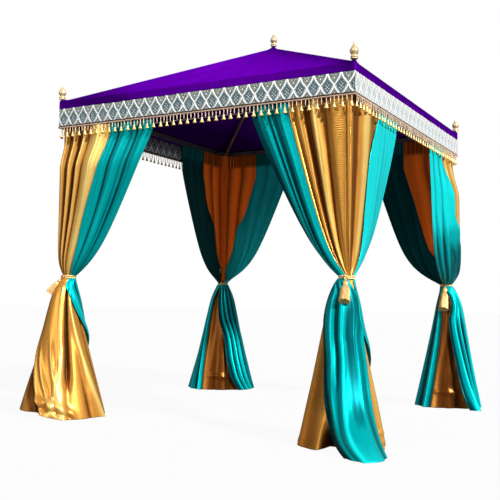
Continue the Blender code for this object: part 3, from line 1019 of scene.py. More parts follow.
@dataclass(frozen=True)
class RoofCover:
    """The purple satin pyramid with its fascia, one cloth that rises in a collar at each finial."""

    half: float = 1.220
    eave: float = 2.390
    rise: float = 0.600
    fascia: float = 0.056
    thickness: float = 0.0024
    sag: float = 0.016
    finial_inset: float = 0.015
    corner_collar: float = 0.0135
    apex_collar: float = 0.0150
    collar_spread: float = 0.026
    slow: float = 0.0022
    fine: float = 0.0010
    pucker: float = 0.0016
    billow: float = 0.0012
    steps: int = 64

    def rings(self) -> tuple[Array, Array]:
        """Rings of the outer face, from the fascia's foot over the eave to the apex.

        Each side's points run along the eave, closer near the corners by a sine rule, and scale
        towards the apex. A sagging half sine, slow ripples and Gaussian collars are added. The
        fascia gets puckers near its corners and a slow billow.

        Returns:
            The rings and their UVs in metres.
        """
        t = np.linspace(-1.0, 1.0, self.steps + 1)[:-1]
        s = np.sin(t * math.pi / 2)[None, :]
        fall = np.concatenate([np.linspace(self.fascia, 0.004, 12), [0.0018, 0.0004], np.zeros(70)])
        shrink = np.concatenate([np.ones(13), [0.9994, 0.9982],
                                 np.linspace(0.995, 0.05, 55), np.geomspace(0.045, 0.004, 14)])
        fall, shrink = fall[:, None], shrink[:, None]
        on_slope = ease(1.0, 0.985, shrink)
        from_corner = (1 - np.abs(s)) * self.half
        inward = (1 - shrink) * self.half
        hung = np.sin(math.pi * np.clip(fall / self.fascia, 0, 1))
        sides = []
        uvs = []
        for side in Side:
            x = s * self.half * shrink
            z = self.eave - fall + self.rise * (1.0 - shrink) + 0 * s
            dip = self.sag * np.sin(math.pi * np.clip(shrink, 0, 1)) * (1 - s ** 2)
            slow = self.slow * ripples(11 + side.value, 5, (0.8, 2.2), 0.9 * x + 1.7 * shrink)
            fine = self.fine * ripples(21 + side.value, 4, (4.0, 9.0),
                                       0.35 * x + shrink * (1 + 0.3 * s))
            even = ease(0.02, 0.25, shrink) * ease(1.0, 0.94, shrink) * (1 - s ** 6)
            z = z - on_slope * (dip + (slow + fine) * even)
            to_corner = np.hypot((1 - np.abs(s)) * self.half * shrink + inward - self.finial_inset,
                                 inward - self.finial_inset)
            swell = np.exp(-(to_corner / self.collar_spread) ** 2)
            z = z + self.corner_collar * swell * (1.0 - ease(0.0, 0.045, fall))
            to_apex = self.half * shrink * np.hypot(1, s) - 0.006
            z = z + self.apex_collar * np.exp(-(to_apex / self.collar_spread).clip(0) ** 2)
            pucker = self.pucker * np.sin(TAU * from_corner / 0.034 + 9.0 * fall) * np.exp(
                -from_corner / 0.10)
            billow = self.billow * ripples(31 + side.value, 5, (1.0, 5.0), s / 2)
            depth = self.half * shrink + (1 - on_slope) * (pucker + billow) * hung - 0.0008
            flat = np.stack([x, -depth, z], -1)
            sides.append(carried_round(flat.reshape(-1, 3), side).reshape(flat.shape))
            run = inward * 1.114 - fall + 0 * s
            uvs.append(np.stack([x + side.value * 2 * self.half, run], -1))
        return np.concatenate(sides, axis=1), np.concatenate(uvs, axis=1)

    def build(self, material: Material) -> Piece:
        """Make the cover with an inner face a cloth's thickness inside the outer one."""
        outer, uv = self.rings()
        inner = outer.copy()
        shrink = 1.0 - self.thickness / self.half
        inner[..., :2] *= shrink
        inner[..., 2] -= self.thickness * ease(self.eave - self.fascia, self.eave, inner[..., 2])
        rings = np.concatenate([inner[::-1], outer])
        slow = 0.5 + 0.5 * ripples(5, 4, (0.6, 1.6), rings[..., 0] * 0.5 + rings[..., 2])
        fold = np.abs(np.abs(rings[..., 0]) - np.abs(rings[..., 1]))
        low = ease(self.eave + 0.004, self.eave - 0.006, rings[..., 2])
        # Painted highlight along each corner of the fascia, just under the eave.
        slow = slow + 1.2 * low * np.exp(-(fold / 0.007) ** 2)
        cover = Surface.tube(rings, np.concatenate([uv[::-1], uv]), values={"crest": slow})
        piece = build_piece("roof_cover_satin", [cover], [material], "roof_cover")
        return piece


@dataclass(frozen=True)
class Fold:
    """A fold: its place at the tie and at the far end, width, height, first drop and roundness.

    A negative height is a valley. The bell curve is squarer for a higher power.
    """

    near: float
    far: float
    width: float
    height: float
    start: float = -1.0
    power: float = 2.0


def folds(*rows: tuple[float, ...]) -> tuple[Fold, ...]:
    """Folds from rows of numbers.

    Args:
        rows: Place, width and height of a fold that runs straight, or Fold's own fields in order.

    Returns:
        The folds.
    """
    return tuple(Fold(row[0], *row) if len(row) == 3 else Fold(*row) for row in rows)


@dataclass(frozen=True)
class Edge:
    """A smooth line of values on the way down: the first one, then knots of (way, value)."""

    first: float
    knots: Pairs

    def at(self, way: Array) -> Array:
        """The value at each share of the way down, by cubic Hermite pieces through the knots."""
        x, y = np.array(((0.0, self.first), *self.knots)).T
        slope = np.gradient(y, x)
        i = np.clip(np.searchsorted(x, way, side="right") - 1, 0, len(x) - 2)
        h = x[i + 1] - x[i]
        t = (way - x[i]) / h
        return ((1 + 2 * t) * (1 - t) ** 2 * y[i] + t * (1 - t) ** 2 * h * slope[i]
                + t * t * (3 - 2 * t) * y[i + 1] + t * t * (t - 1) * h * slope[i + 1])


def curved(first: float, *knots: tuple[float, float]) -> Edge:
    """An edge from its first value through knots of (way, value)."""
    return Edge(first, knots)


def straight(first: float, last: float) -> Edge:
    """An edge that goes evenly from its first value to its last."""
    return Edge(first, ((1.0, last),))


@dataclass(frozen=True)
class Hem:
    """A rolled fold that runs across the skirt near the floor, from one angle to another."""

    angles: tuple[float, float]
    falls: tuple[float, float]
    width: float
    height: float

    def at(self, angle: Array, fall: Array) -> Array:
        """Height in metres: a bell curve across the roll, eased in and out along it."""
        t = (angle - self.angles[0]) / (self.angles[1] - self.angles[0])
        middle = self.falls[0] + (self.falls[1] - self.falls[0]) * t ** 4
        along = ease(0.0, 0.2, t) * ease(1.0, 0.85, t)
        return self.height * along * np.exp(-((fall - middle) / self.width) ** 2)


def folds_at(rows: tuple[Fold, ...], place: Array, drop: Array, turn: float = 0.0) -> Array:
    """Height of folds at each place: a sum of bell curves whose middles lean as they drop.

    Args:
        rows: The folds.
        place: Where across the cloth.
        drop: 0 at the tie, 1 at the far end.
        turn: Period of the place, or 0 for none.

    Returns:
        Height in metres.
    """
    total = np.zeros(np.broadcast(place, drop).shape)
    for fold in rows:
        away = place - (fold.near + (fold.far - fold.near) * drop)
        if turn:
            away = (away + turn / 2) % turn - turn / 2
        begun = ease(fold.start, fold.start + 0.22, drop)
        total += fold.height * begun * np.exp(-np.abs(away / fold.width) ** fold.power)
    return total


@dataclass(frozen=True)
class Panel:
    """One sheet of a drape.

    Shares are its places along the rail, 0 at the corner, plus on the one face and minus on the
    other. Low and high are its edges below the tie, as angles from the outward diagonal. Upper
    folds go by share. Skirt folds go by angle on a gold sheet, and by place across on a teal one.
    Lift raises the hem, and reach and hems push it out, all by angle. Swing draws the sheet towards
    the corner above the tie, and tone makes it lighter or darker there, as painted light where it is
    positive and painted shade where it is negative. Fold heights also set painted shade and highlight.
    """

    shares: tuple[float, float]
    low: Edge
    high: Edge
    upper: tuple[Fold, ...]
    skirt: tuple[Fold, ...] = ()
    lift: tuple[Fold, ...] = ()
    reach: tuple[Fold, ...] = ()
    hems: tuple[Hem, ...] = ()
    swing: Edge = straight(0.0, 0.0)
    tone: Edge = straight(0.0, 0.0)


@dataclass(frozen=True)
class CornerPlan:
    """What sets one corner's drapes apart from the others'.

    Bellies say how late the cloth is drawn in at the minus and the plus end. Radius is the skirt's
    at the floor. Casing holds the shares of the shirred ribs. Lean is the direction in degrees and
    the distance that the cloth leans under the tie. Puffs push the cloth out above the tie, along
    each plan axis, and are full from puff_by of the drop on. Tassel is the side of the tie that the
    tassel hangs on, in degrees, tassel_lean its angle from plumb and tassel_size its length.
    """

    corner: Corner
    bellies: tuple[float, float]
    radius: float
    gold: Panel
    teal_plus: Panel
    teal_minus: Panel
    casing: Pairs
    tassel: float
    seed: int
    lean: tuple[float, float] = (0.0, 0.0)
    tassel_lean: float = 31.0
    tassel_size: float = 1.0
    puff_by: float = 0.3
    puffs: tuple[tuple[Fold, ...], tuple[Fold, ...]] = ((), ())

    def placed(self, points: Array) -> Array:
        """Points measured outwards from the post axis, put at this corner of the plan."""
        return (points + [POST, POST, 0.0]) * [*self.corner.value, 1.0]


@dataclass(frozen=True)
class Drapes:
    """Satin drapes of one corner: gold round the corner, teal on both faces, tied at the post.

    A plan point of the cloth is measured from the post axis. Above the tie it lies between the
    hanging line under the rail and a circle round the post, by a share that grows with the drop.
    Below the tie it lies on a cone that opens towards the floor. A teal sheet lies outside the rail's
    line and is lifted off the gold cone. Fold heights also set painted light: a fold that rises
    light_by's first height is painted fully light, and a valley of its second depth is painted fully
    dark. Pleats are how many small folds a gold and a teal sheet have at the tie. The gold one is
    tucked in behind the post by a share of the rail.
    """

    plan: CornerPlan
    top: float = 2.3492
    tie: float = TIE
    foot: float = 0.004
    drawn_from: float = 2.110
    hang: float = 0.0495
    spread: float = 0.700
    tied: float = 0.0345
    thickness: float = 0.0015
    rounding: float = 0.030
    outside: float = 0.0045
    lifted: float = 0.014
    apart: float = 0.006
    gold_inside: float = 0.004
    sway: float = 0.010
    creases: float = 0.0012
    squeeze: float = 0.10
    # Heights over which painted shade comes in at the top of the drapes, where the border shades them.
    shaded_top: tuple[float, float] = (2.226, 2.238)
    light_by: tuple[float, float] = (0.038, 0.026)
    skirt_light_by: tuple[float, float] = (0.040, 0.026)
    gold_light_by: float = 0.050
    pleat: float = 0.0014
    pleats: tuple[int, int] = (16, 7)
    rib_foot: float = 1.12
    rib_pitch: float = 0.0122
    rib_height: float = 0.0070
    rib_pucker: float = 0.0013
    sleeve_half: float = 0.0222
    sleeve_pitch: float = 0.016
    sleeve_pucker: float = 0.0009
    tuck: float = 0.05
    rows_up: int = 88
    rows_down: int = 100

    def drop(self, z: Array) -> Array:
        """Share of the way down from where the cloth starts to be drawn in to the tie."""
        return np.clip((self.drawn_from - z) / (self.drawn_from - self.tie), 0.0, 1.0)

    def falls(self) -> Array:
        """Falls of the skirt's rows: 0 at the tie, 1 at the floor, closest at both ends."""
        t = np.linspace(0.0, 1.0, self.rows_down)[1:, None]
        return 0.5 * t ** 1.3 + 0.5 * (1.0 - (1.0 - t) ** 1.6)

    def hanging(self, share: Array, inset: Array) -> tuple[Array, Array]:
        """Plan point under the rail: straight along both faces, with a rounded corner at share 0."""
        hang = self.hang - inset
        run = np.abs(share) * (self.hang + self.spread)
        cut = np.maximum(0.0, self.rounding - run) ** 2 / (4 * self.rounding)
        far = hang - run - cut
        return np.where(share >= 0, far, hang - cut), np.where(share >= 0, hang - cut, far)

    def gathered(self, share: Array, z: Array, tie: Array, inset: Array) -> tuple[Array, Array]:
        """Plan point above the tie, drawn in by a near-straight run plus a late belly.

        Args:
            share: Share of the hanging line.
            z: Height.
            tie: Angle at the tie, in degrees.
            inset: Distance inside the cloth line.

        Returns:
            Both plan coordinates, from the post axis.
        """
        minus, plus = self.plan.bellies
        belly = minus + (plus - minus) * ease(-1.0, 1.0, share)
        t = self.drop(z)
        drawn = (1 - belly) * t ** 1.1 + belly * t ** 9
        spun = np.radians(45.0 + tie)
        hu, hv = self.hanging(share, inset)
        return ((1 - drawn) * hu + drawn * (self.tied - inset) * np.cos(spun),
                (1 - drawn) * hv + drawn * (self.tied - inset) * np.sin(spun))

    def cone(self, angle: Array, fall: Array, panel: Panel) -> Array:
        """Radius of the skirt: a quick flare under the rope, a long cone and late-kicking hems.

        Args:
            angle: Degrees from the outward diagonal.
            fall: 0 at the tie, 1 at the floor.
            panel: The panel whose hems kick out with the sixth power of the fall.

        Returns:
            Radius in metres.
        """
        open_up = 0.15 * (1 - np.exp(-fall / 0.05)) + 0.85 * fall ** 1.15
        radius = self.tied + (self.plan.radius - self.tied) * open_up
        radius = radius + folds_at(panel.reach, angle, fall, 360.0) * fall ** 6
        return radius + sum(hem.at(angle, fall) for hem in panel.hems)

    def skirt(self, panel: Panel, across: Array, angle: Array, inset: Array,
              over: bool) -> tuple[Array, Array]:
        """The part below the tie: a folded cone that leans away under the tie.

        A sheet over the gold one keeps outside it by a smooth maximum of both radii.

        Args:
            panel: The panel's folds and hems.
            across: Place across the panel of each column.
            angle: Degrees from the outward diagonal, rows by columns.
            inset: Distance inside the cloth line of each column.
            over: Whether the sheet lies over the gold one.

        Returns:
            Points measured from the post axis, and how light each is.
        """
        fall = self.falls() + 0 * across
        low = self.foot + folds_at(panel.lift, angle, fall, 360.0) * ease(0.55, 1.0, fall)
        z = self.tie - (self.tie - low) * fall
        grown = ease(0.0, 0.10, fall) * (0.35 + 0.65 * fall)
        under = folds_at(self.plan.gold.skirt, angle, fall, 360.0)
        radius = self.cone(angle, fall, self.plan.gold) + under * grown
        radius = radius - inset * (1 - ease(0, 0.05, fall))
        shade = under / self.gold_light_by
        if over:
            own_folds = folds_at(panel.skirt, across[None, :] + 0 * fall, fall)
            own = self.cone(angle, fall, panel) + own_folds * grown + self.lifted * ease(0.0, 0.2, fall)
            radius = smooth_max(own, radius + self.apart, 250)
            shade = own_folds / np.where(own_folds > 0, *self.skirt_light_by)
        else:
            radius = radius - self.gold_inside * ease(0.0, 0.05, fall)
        spun = np.radians(45.0 + angle)
        lean = self.plan.lean[1] * (1 - np.exp(-fall / 0.09)) * (1 - 0.6 * fall)
        towards = math.radians(45.0 + self.plan.lean[0])
        points = np.stack([radius * np.cos(spun) + lean * math.cos(towards),
                           radius * np.sin(spun) + lean * math.sin(towards), z], -1)
        return points, shade * ease(0.0, 0.06, fall)

    def relief(self, panel: Panel, share: Array, z: Array, over: bool) -> tuple[Array, Array]:
        """Folds above the tie, which sway a little and level out at the rail and the tie.

        Args:
            panel: The panel's folds and tone.
            share: Share of the hanging line, rows by columns.
            z: Height, rows by columns.
            over: Whether the sheet lies over the gold one, whose folds then show through it.

        Returns:
            Height of the folds in metres, and how light each point is: painted shade and highlight from
            the folds and the panel's tone, and painted shade on the heading at the top, where the border
            shades it.
        """
        t = self.drop(z)
        height = np.clip((z - self.tie) / (self.top - self.tie), 0.0, 1.0)
        sway = self.sway * ripples(self.plan.seed, 3, (0.5, 1.6), height)
        place = share + sway * (1 if over else 0.7)
        full = np.interp(height, [0.0, 0.03, 0.12, 0.5, 0.85, 1.0], [0.10, 0.22, 0.55, 1.0, 0.95, 0.80])
        hung = folds_at(panel.upper, place, height)
        rise = hung * full + self.creases * ripples(self.plan.seed + 7, 5, (9.0, 26.0), place) * full
        if over:
            beneath = folds_at(self.plan.gold.upper, share + 0.7 * sway, height) * full
            edge = 0.60 * (1.0 - self.plan.gold.swing.at(t)) + 0.03
            beneath = (beneath + 0.004) * ease(edge + 0.04, edge, np.abs(share)) * ease(0.0, 0.1, height)
            rise = smooth_max(rise, beneath, 700)
        near_tie = np.interp(height, [0.0, 0.05, 0.2], [0.4, 0.7, 1.0])
        # Painted shade and highlight from the folds' heights, plus the panel's tone: painted light where
        # positive, painted shade where negative.
        shade = hung / np.where(hung > 0, *self.light_by) * near_tie + panel.tone.at(t)
        ruffle = 0.45 * ripples(self.plan.seed + 11, 6, (20.0, 60.0), share)
        # At the top the cloth is painted dark, as the border's shade, with a small ruffle.
        return rise, shade + ease(*self.shaded_top, z) * (-0.55 - shade + ruffle)

    def sheet(self, panel: Panel, across: Array, share: Array, tie: Array,
              angle: Array, inset: Array, over: bool) -> Surface:
        """One sheet from rail to floor, worked out on a grid of rows by columns.

        Args:
            panel: The panel's folds and hems.
            across: Place across the panel of each column, 0 to 1.
            share: Share of the hanging line of each column.
            tie: Angle at the tie of each column.
            angle: Angle below the tie, rows by columns.
            inset: Distance inside the cloth line of each column.
            over: Whether the sheet lies over the gold one.

        Returns:
            The closed sheet.
        """
        t_up = np.linspace(0.0, 1.0, self.rows_up)
        z = (self.tie + (self.top - self.tie) * (1 - t_up) ** 1.30)[:, None] + 0 * share
        t = self.drop(z)
        swing = panel.swing.at(t)
        towards = -math.copysign(1.0, panel.shares[0]) * (1.0 - across[None, :])
        share = share[None, :] + towards * swing if over else share[None, :] * (1.0 - swing)
        full = ease(0.0, self.plan.puff_by, t) * (0.75 + 0.35 * t) * (1.0 - t ** 16)
        out, forth = (folds_at(puffs, share, t) * full for puffs in self.plan.puffs)
        u, v = self.gathered(share, z, tie, inset)
        lower, skirt_shade = self.skirt(panel, across, angle, inset, over)
        relief, shade = self.relief(panel, share, z, over)
        base = np.concatenate([np.stack([u + out, v + forth, z], -1), lower])
        depth = np.concatenate([t_up[:, None], 1.0 + self.falls()])
        gather = np.exp(-((depth - 1.0) / self.squeeze) ** 2)
        rise = np.concatenate([relief, np.zeros(skirt_shade.shape)])
        pleats = self.pleats[1] if over else self.pleats[0]
        rise = rise + self.pleat * gather * np.sin(TAU * (across[None, :] * pleats))
        points = base + outward_normals(base) * rise[..., None]
        points[..., 2] = np.clip(points[..., 2], self.foot, self.top)
        normals = outward_normals(points) * [*self.plan.corner.value, 1.0]
        points = self.plan.placed(points)
        step = np.linalg.norm(np.diff(points[self.rows_up // 3], axis=0), axis=-1)
        run = np.concatenate([[0.0], np.cumsum(step)])[None, :] + 0 * depth
        # Painted light of each point: below 0.5 painted shade, above it painted highlight.
        crest = np.clip(0.5 + np.concatenate([shade, skirt_shade]), -0.4, 1.1)
        return Surface.cloth(points, normals, self.thickness, np.stack([run, points[..., 2]], -1),
                             values={"crest": crest})

    def teal(self, panel: Panel, face: str, material: Material) -> Piece:
        """The teal drape on one face, over the gold."""
        across = np.linspace(0.0, 1.0, 60)
        share = panel.shares[0] + (panel.shares[1] - panel.shares[0]) * across
        tie = panel.low.first + (panel.high.first - panel.low.first) * across
        low, high = (edge.at(self.falls()) for edge in (panel.low, panel.high))
        inset = np.full(len(across), -self.outside)
        sheet = self.sheet(panel, across, share, tie, low + (high - low) * across[None, :], inset, True)
        place = f"{self.plan.corner.label}_on_{face}"
        piece = build_piece(f"teal_satin_{place}", [sheet], [material],
                            f"teal_drape_{place}")
        return piece

    def gold(self, material: Material) -> Piece:
        """The gold drape round the corner, its shirred casing and the sleeve on the post."""
        panel = self.plan.gold
        visible = np.linspace(0.0, 1.0, 100)
        tucked = np.linspace(0.0, 1.0, 17)[1:]
        first, last = panel.shares
        share = np.concatenate([first - self.tuck * tucked[::-1], first + (last - first) * visible,
                                last + self.tuck * tucked])
        low, high = panel.low.first, panel.high.first
        tie = np.concatenate([low - (165 + low) * tucked[::-1], low + (high - low) * visible,
                              high + (165 - high) * tucked])
        inset = np.concatenate([0.006 * ease(0, 0.3, tucked[::-1]), 0 * visible,
                                0.006 * ease(0, 0.3, tucked)])
        low, high = panel.low.at(self.falls()), panel.high.at(self.falls())
        angle = np.concatenate([low - (180 + low) * tucked[None, ::-1],
                                low + (high - low) * visible[None, :],
                                high + (180 - high) * tucked[None, :]], axis=1)
        across = np.linspace(0.0, 1.0, len(share))
        sheet = self.sheet(panel, across, share, tie, angle, inset, False)
        parts = [sheet] + [self.rib(*span) for span in self.plan.casing] + [self.sleeve()]
        piece = build_piece(f"gold_satin_{self.plan.corner.label}", parts, [material],
                            f"gold_drape_{self.plan.corner.label}")
        return piece

    def rib(self, low: float, high: float) -> Surface:
        """A shirred rib beside the corner: a low arch across, with small puckers down its length.

        Args:
            low: Share at one edge.
            high: Share at the other edge.

        Returns:
            The closed rib.
        """
        panel = self.plan.gold
        z = np.linspace(self.top - 0.004, self.rib_foot, 380)[:, None]
        across = np.linspace(0.0, 1.0, 9)[None, :]
        narrow = 1.0 - 0.25 * ease(1.9, 1.30, z) - 0.45 * ease(1.40, self.rib_foot, z)
        share = (low + high) / 2 + (high - low) * (across - 0.5) * narrow
        tie = panel.low.first + (panel.high.first - panel.low.first) * (
            (share - panel.shares[0]) / (panel.shares[1] - panel.shares[0]))
        u, v = self.gathered(share, z, tie, np.full_like(share, -0.003))
        uneven = 0.6 + 0.4 * ripples(self.plan.seed + 6, 5, (3.0, 14.0), z + 0.2 * across)
        wave = uneven * np.sin(TAU * z / self.rib_pitch
                               + 2.6 * ripples(self.plan.seed + 3, 4, (2.0, 9.0), z)
                               + 2.2 * ripples(self.plan.seed + 5, 2, (0.3, 0.9), across))
        arch = np.sin(math.pi * across) ** 0.6
        bulge = (self.rib_height + self.rib_pucker * wave) * arch * ease(self.rib_foot, 1.34, z)
        base = np.stack([u, v, z + 0 * u], -1)
        normals = outward_normals(base)
        front = base + normals * (bulge - 0.0002)[..., None]
        back = base - normals * 0.0014
        rings = self.plan.placed(np.concatenate([front, back[:, ::-1]], axis=1))
        # Painted light: the puckers on the rib's face are lighter and darker, and its back is painted
        # dark.
        crest = np.concatenate([0.56 + 0.26 * wave * arch * ease(1.15, 1.5, z), np.full_like(u, 0.3)],
                               axis=1)
        uv = np.stack([np.concatenate([across, across[:, ::-1]], 1) * 0.06 + 0 * rings[..., 0],
                       rings[..., 2]], -1)
        return Surface.tube(rings, uv, values={"crest": crest})

    def sleeve(self) -> Surface:
        """The shirred sleeve on the post: a rounded square tube with small puckers."""
        z = np.linspace(self.top - 0.002, self.tie + 0.03, 240)[:, None]
        angle = (np.arange(24) * TAU / 24)[None, :]
        square = self.sleeve_half / (np.abs(np.cos(angle)) ** 5 + np.abs(np.sin(angle)) ** 5) ** 0.2
        wave = np.sin(TAU * z / self.sleeve_pitch
                      + 2.0 * ripples(self.plan.seed + 9, 3, (2.0, 7.0), z) + 0.8 * np.sin(3 * angle))
        radius = square + self.sleeve_pucker * (1 + wave)
        centre = self.plan.placed(np.zeros(3))
        rings = np.stack([centre[0] + radius * np.cos(angle), centre[1] + radius * np.sin(angle),
                          z + 0 * angle], -1)
        uv = np.stack([0.15 * angle / TAU + 0 * z, z + 0 * angle], -1)
        # The sleeve gets painted shade and highlight from its puckers, and the inner face's painted
        # backlit colour and glow.
        return Surface.tube(rings, uv, values={"crest": 0.4 + 0.3 * wave, "lining": 1.0 + 0 * wave})


def twisted_rope(path: Array, radius: float, strand: float, twists: float,
                 sides: int = 8) -> list[Surface]:
    """Three strands wound round a path, each a tube whose middle circles the path.

    Args:
        path: Array of points by 3.
        radius: Distance of a strand's middle from the path.
        strand: Strand radius.
        twists: Turns over the whole path.
        sides: Sides of each strand.

    Returns:
        One closed tube for each strand.
    """
    side, up = path_axes(path)
    t = np.linspace(0.0, 1.0, len(path))
    strands = []
    for k in range(3):
        turn = (TAU * (twists * t + k / 3))[:, None]
        middle = path + radius * (np.cos(turn) * side + np.sin(turn) * up)
        rings = carried_rings(middle, strand, sides)
        # Painted shade between the strands: each strand is lighter on its outside.
        crest = np.linalg.norm(rings - path[:, None], axis=-1) / (radius + strand)
        strands.append(Surface.tube(rings, values={"crest": crest}))
    return strands


@dataclass(frozen=True)
class Tieback:
    """A twisted gold rope in two turns round the drapes, with a knot and a hanging tassel.

    The turns lie a rise above and below the tie. The stub carries the tassel. A rope has a radius,
    a strand radius and a number of twists. Head and skirt are turned profiles, as rows of radius
    and distance, and bands are rows of distance and radius.
    """

    plan: CornerPlan
    tie: float = TIE
    ring: float = 0.0470
    turns: int = 2
    rise: float = 0.0072
    knot: float = 0.0072
    stub: float = 0.024
    rope: Triple = (0.0034, 0.0030, 38.0)
    knot_rope: Triple = (0.0032, 0.0028, 9.0)
    stub_rope: Triple = (0.0024, 0.0022, 1.6)
    band: float = 0.0022
    HEAD = ((0.0, 0.0), (0.0075, 0.0006), (0.0135, 0.0055), (0.0165, 0.0140), (0.0152, 0.0235),
            (0.0110, 0.0300), (0.0, 0.0305))
    BANDS = ((0.0275, 0.0122), (0.0315, 0.0128))
    SKIRT = ((0.0, 0.0290), (0.0115, 0.0292), (0.0190, 0.0370), (0.0245, 0.0500), (0.0275, 0.0700),
             (0.0300, 0.0980), (0.0320, 0.1270), (0.0316, 0.1320), (0.0180, 0.1300), (0.0, 0.1290))

    def build(self, material: Material) -> Piece:
        """Make the tieback with its tassel.

        Args:
            material: The gold rope finish.

        Returns:
            The piece.
        """
        out = math.radians(45.0 + self.plan.tassel)
        t = np.linspace(0.0, 1.0, 460)
        spin = out + TAU * self.turns * t
        z = self.tie + self.rise * (1 - 2 * ease(0.35, 0.65, t))
        path = np.stack([self.ring * np.cos(spin), self.ring * np.sin(spin), z], -1)
        parts = twisted_rope(path, *self.rope)
        head = np.array([math.cos(out), math.sin(out), 0.0])
        tangent = np.array([-math.sin(out), math.cos(out), 0.0])
        upward = np.array([0.0, 0.0, 1.0])
        centre = head * (self.ring + 0.006) + upward * self.tie
        a = np.linspace(0.0, TAU, 120)[:, None]
        knot = centre + self.knot * ((np.sin(a) + 2 * np.sin(2 * a)) * tangent / 1.6
                                     + (np.cos(a) - 2 * np.cos(2 * a)) * upward / 1.6
                                     - np.sin(3 * a) * head / 1.3)
        parts += twisted_rope(knot, *self.knot_rope)
        lean = math.radians(self.plan.tassel_lean)
        down = math.cos(lean) * -upward + math.sin(lean) * head
        start = head * (self.ring + 0.004) + upward * (self.tie - 0.010)
        s = np.linspace(0.0, self.stub, 16)[:, None]
        parts += twisted_rope(start + s * down, *self.stub_rope, sides=6)
        parts += self.tassel(start + 0.016 * down, down, tangent)
        parts = [replace(p, points=self.plan.placed(p.points)).outward() for p in parts]
        return build_piece(f"tieback_rope_{self.plan.corner.label}", parts, [material],
                           f"tieback_{self.plan.corner.label}")

    def tassel(self, start: Array, down: Array, across: Array) -> list[Surface]:
        """Head, ridged bell skirt and two neck bands, turned round a leaning axis.

        The plan's tassel size scales lengths, and its square root scales radii.

        Args:
            start: Top of the head.
            down: Unit direction of the axis.
            across: Unit direction square to it.

        Returns:
            Head, skirt and bands.
        """
        third = np.cross(down, across)
        size = self.plan.tassel_size
        head, skirt = smooth_profile(self.HEAD, 4), smooth_profile(self.SKIRT, 5)
        parts = []
        for profile, ridges, sides, deep in ((head, 14, 56, 0.06), (skirt, 28, 112, 0.055)):
            angle = (np.arange(sides) * TAU / sides)[None, :]
            radius, along = profile[:, :1] * size ** 0.5, profile[:, 1:] * size
            ridge = np.cos(ridges * angle + 14.0 * along / 0.1 * 0.15)
            radius = radius * (1 + deep * ridge)
            hem = 0.0022 * np.sin(9 * angle + 1.0) * ease(0.105, 0.132, along)
            rings = (start + (along + hem)[..., None] * down + radius[..., None]
                     * (np.cos(angle)[..., None] * across + np.sin(angle)[..., None] * third))
            # Painted light: the tassel's ridges are lighter and its grooves darker.
            parts.append(Surface.tube(rings, values={"crest": 0.5 + 0.4 * ridge}))
        a = np.linspace(0.0, TAU, 40)[:, None]
        for depth, radius in self.BANDS:
            loop = start + depth * size * down + radius * size ** 0.5 * (
                np.cos(a) * across + np.sin(a) * third)
            rings = carried_rings(loop, self.band, 8)
            parts.append(Surface.tube(rings, values={"crest": np.full(rings.shape[:2], 0.8)}))
        return parts


# Fold heights in these tables set painted shade and highlight as well as the cloth's shape, and tone is
# painted light where positive and painted shade where negative.
FRONT_RIGHT = CornerPlan(
    Corner.FRONT_RIGHT, bellies=(0.32, 0.17), radius=0.285, casing=((0.0, 0.06), (0.06, 0.215)),
    tassel=28, tassel_size=1.12, seed=3, lean=(113, 0.028), puffs=(folds((-0.85, 0.35, 0.006)), ()),
    gold=Panel(
        (-0.61, 0.61), straight(-30, -110), straight(15, 60),
        upper=folds((-0.115, -0.115, 0.085, -0.014, -1.0, 4), (-0.31, 0.09, 0.024), (-0.52, 0.06, -0.008),
            (0.262, 0.03, -0.012), (0.343, 0.045, 0.02), (0.42, 0.03, -0.022), (0.49, 0.032, 0.011),
            (0.537, 0.016, -0.012), (0.57, 0.018, 0.01)),
        # The deep valley near 40 degrees paints the gap under the lifted hem nearly black, as painted
        # shade.
        skirt=folds((-36, -44, 9, 0.016), (-62, 8, -0.016), (100, 12, 0.006), (72, 76, 14, -0.012),
            (40, 40, 10, -0.11, 0.84, 3)),
        lift=folds((38, 14, 0.03)),
        reach=folds((37, 11, -0.06), (-55, 26, -0.03)),
        hems=(Hem((-30, -75), (0.9, 0.93), 0.016, 0.01), Hem((-28, -70), (0.955, 0.965), 0.014, 0.01))),
    teal_plus=Panel(
        (0.595, 0.965), curved(12, (0.1, -40), (0.38, -34), (0.61, -27), (0.79, -21), (1.0, -13)),
            curved(172, (0.05, 112), (0.15, 104), (0.24, 96), (0.32, 84), (0.47, 66), (0.61, 58),
            (0.76, 50), (0.86, 42), (0.93, 34), (1.0, 22)),
        upper=folds((0.655, 0.042, 0.009), (0.735, 0.026, -0.018), (0.772, 0.008, 0.01),
            (0.797, 0.016, -0.014), (0.85, 0.034, 0.006), (0.935, 0.045, -0.016)),
        skirt=folds((0.97, 0.98, 0.07, -0.022), (0.7, 0.86, 0.04, 0.016), (0.7, 0.86, 0.04, -0.012, 0.5),
            (0.94, 0.92, 0.09, -0.02, 0.62), (0.58, 0.76, 0.034, -0.026),
            (0.58, 0.76, 0.034, 0.019, 0.48), (0.46, 0.65, 0.048, 0.018),
            (0.46, 0.46, 0.26, 0.014, 0.8, 6), (0.33, 0.37, 0.13, -0.011, -1.0, 4),
            (0.36, 0.36, 0.14, 0.01, 0.7, 4), (0.24, 0.34, 0.012, 0.007),
            (0.24, 0.34, 0.012, -0.007, 0.36), (0.12, 0.14, 0.07, -0.007, -1.0, 4)),
        reach=folds((6, 26, 0.23))),
    teal_minus=Panel(
        (-0.595, -1.12), curved(-28, (0.1, -37), (0.3, -34), (0.36, -42), (0.45, -68), (0.56, -98),
            (1.0, -112)), straight(-172, -232),
        upper=folds((-0.72, 0.02, -0.005), (-0.66, 0.05, 0.004), (-0.83, 0.025, -0.007),
            (-0.94, 0.02, -0.005), (-1.04, 0.025, -0.006)),
        skirt=folds((0.1, 0.06, 0.01), (0.35, 0.08, -0.01), (0.6, 0.1, 0.012), (0.85, 0.08, -0.01)),
        swing=curved(0.0, (0.32, 0.13), (0.55, 0.12), (1.0, 0.0)),
        tone=straight(0.6, 0.5)),
)
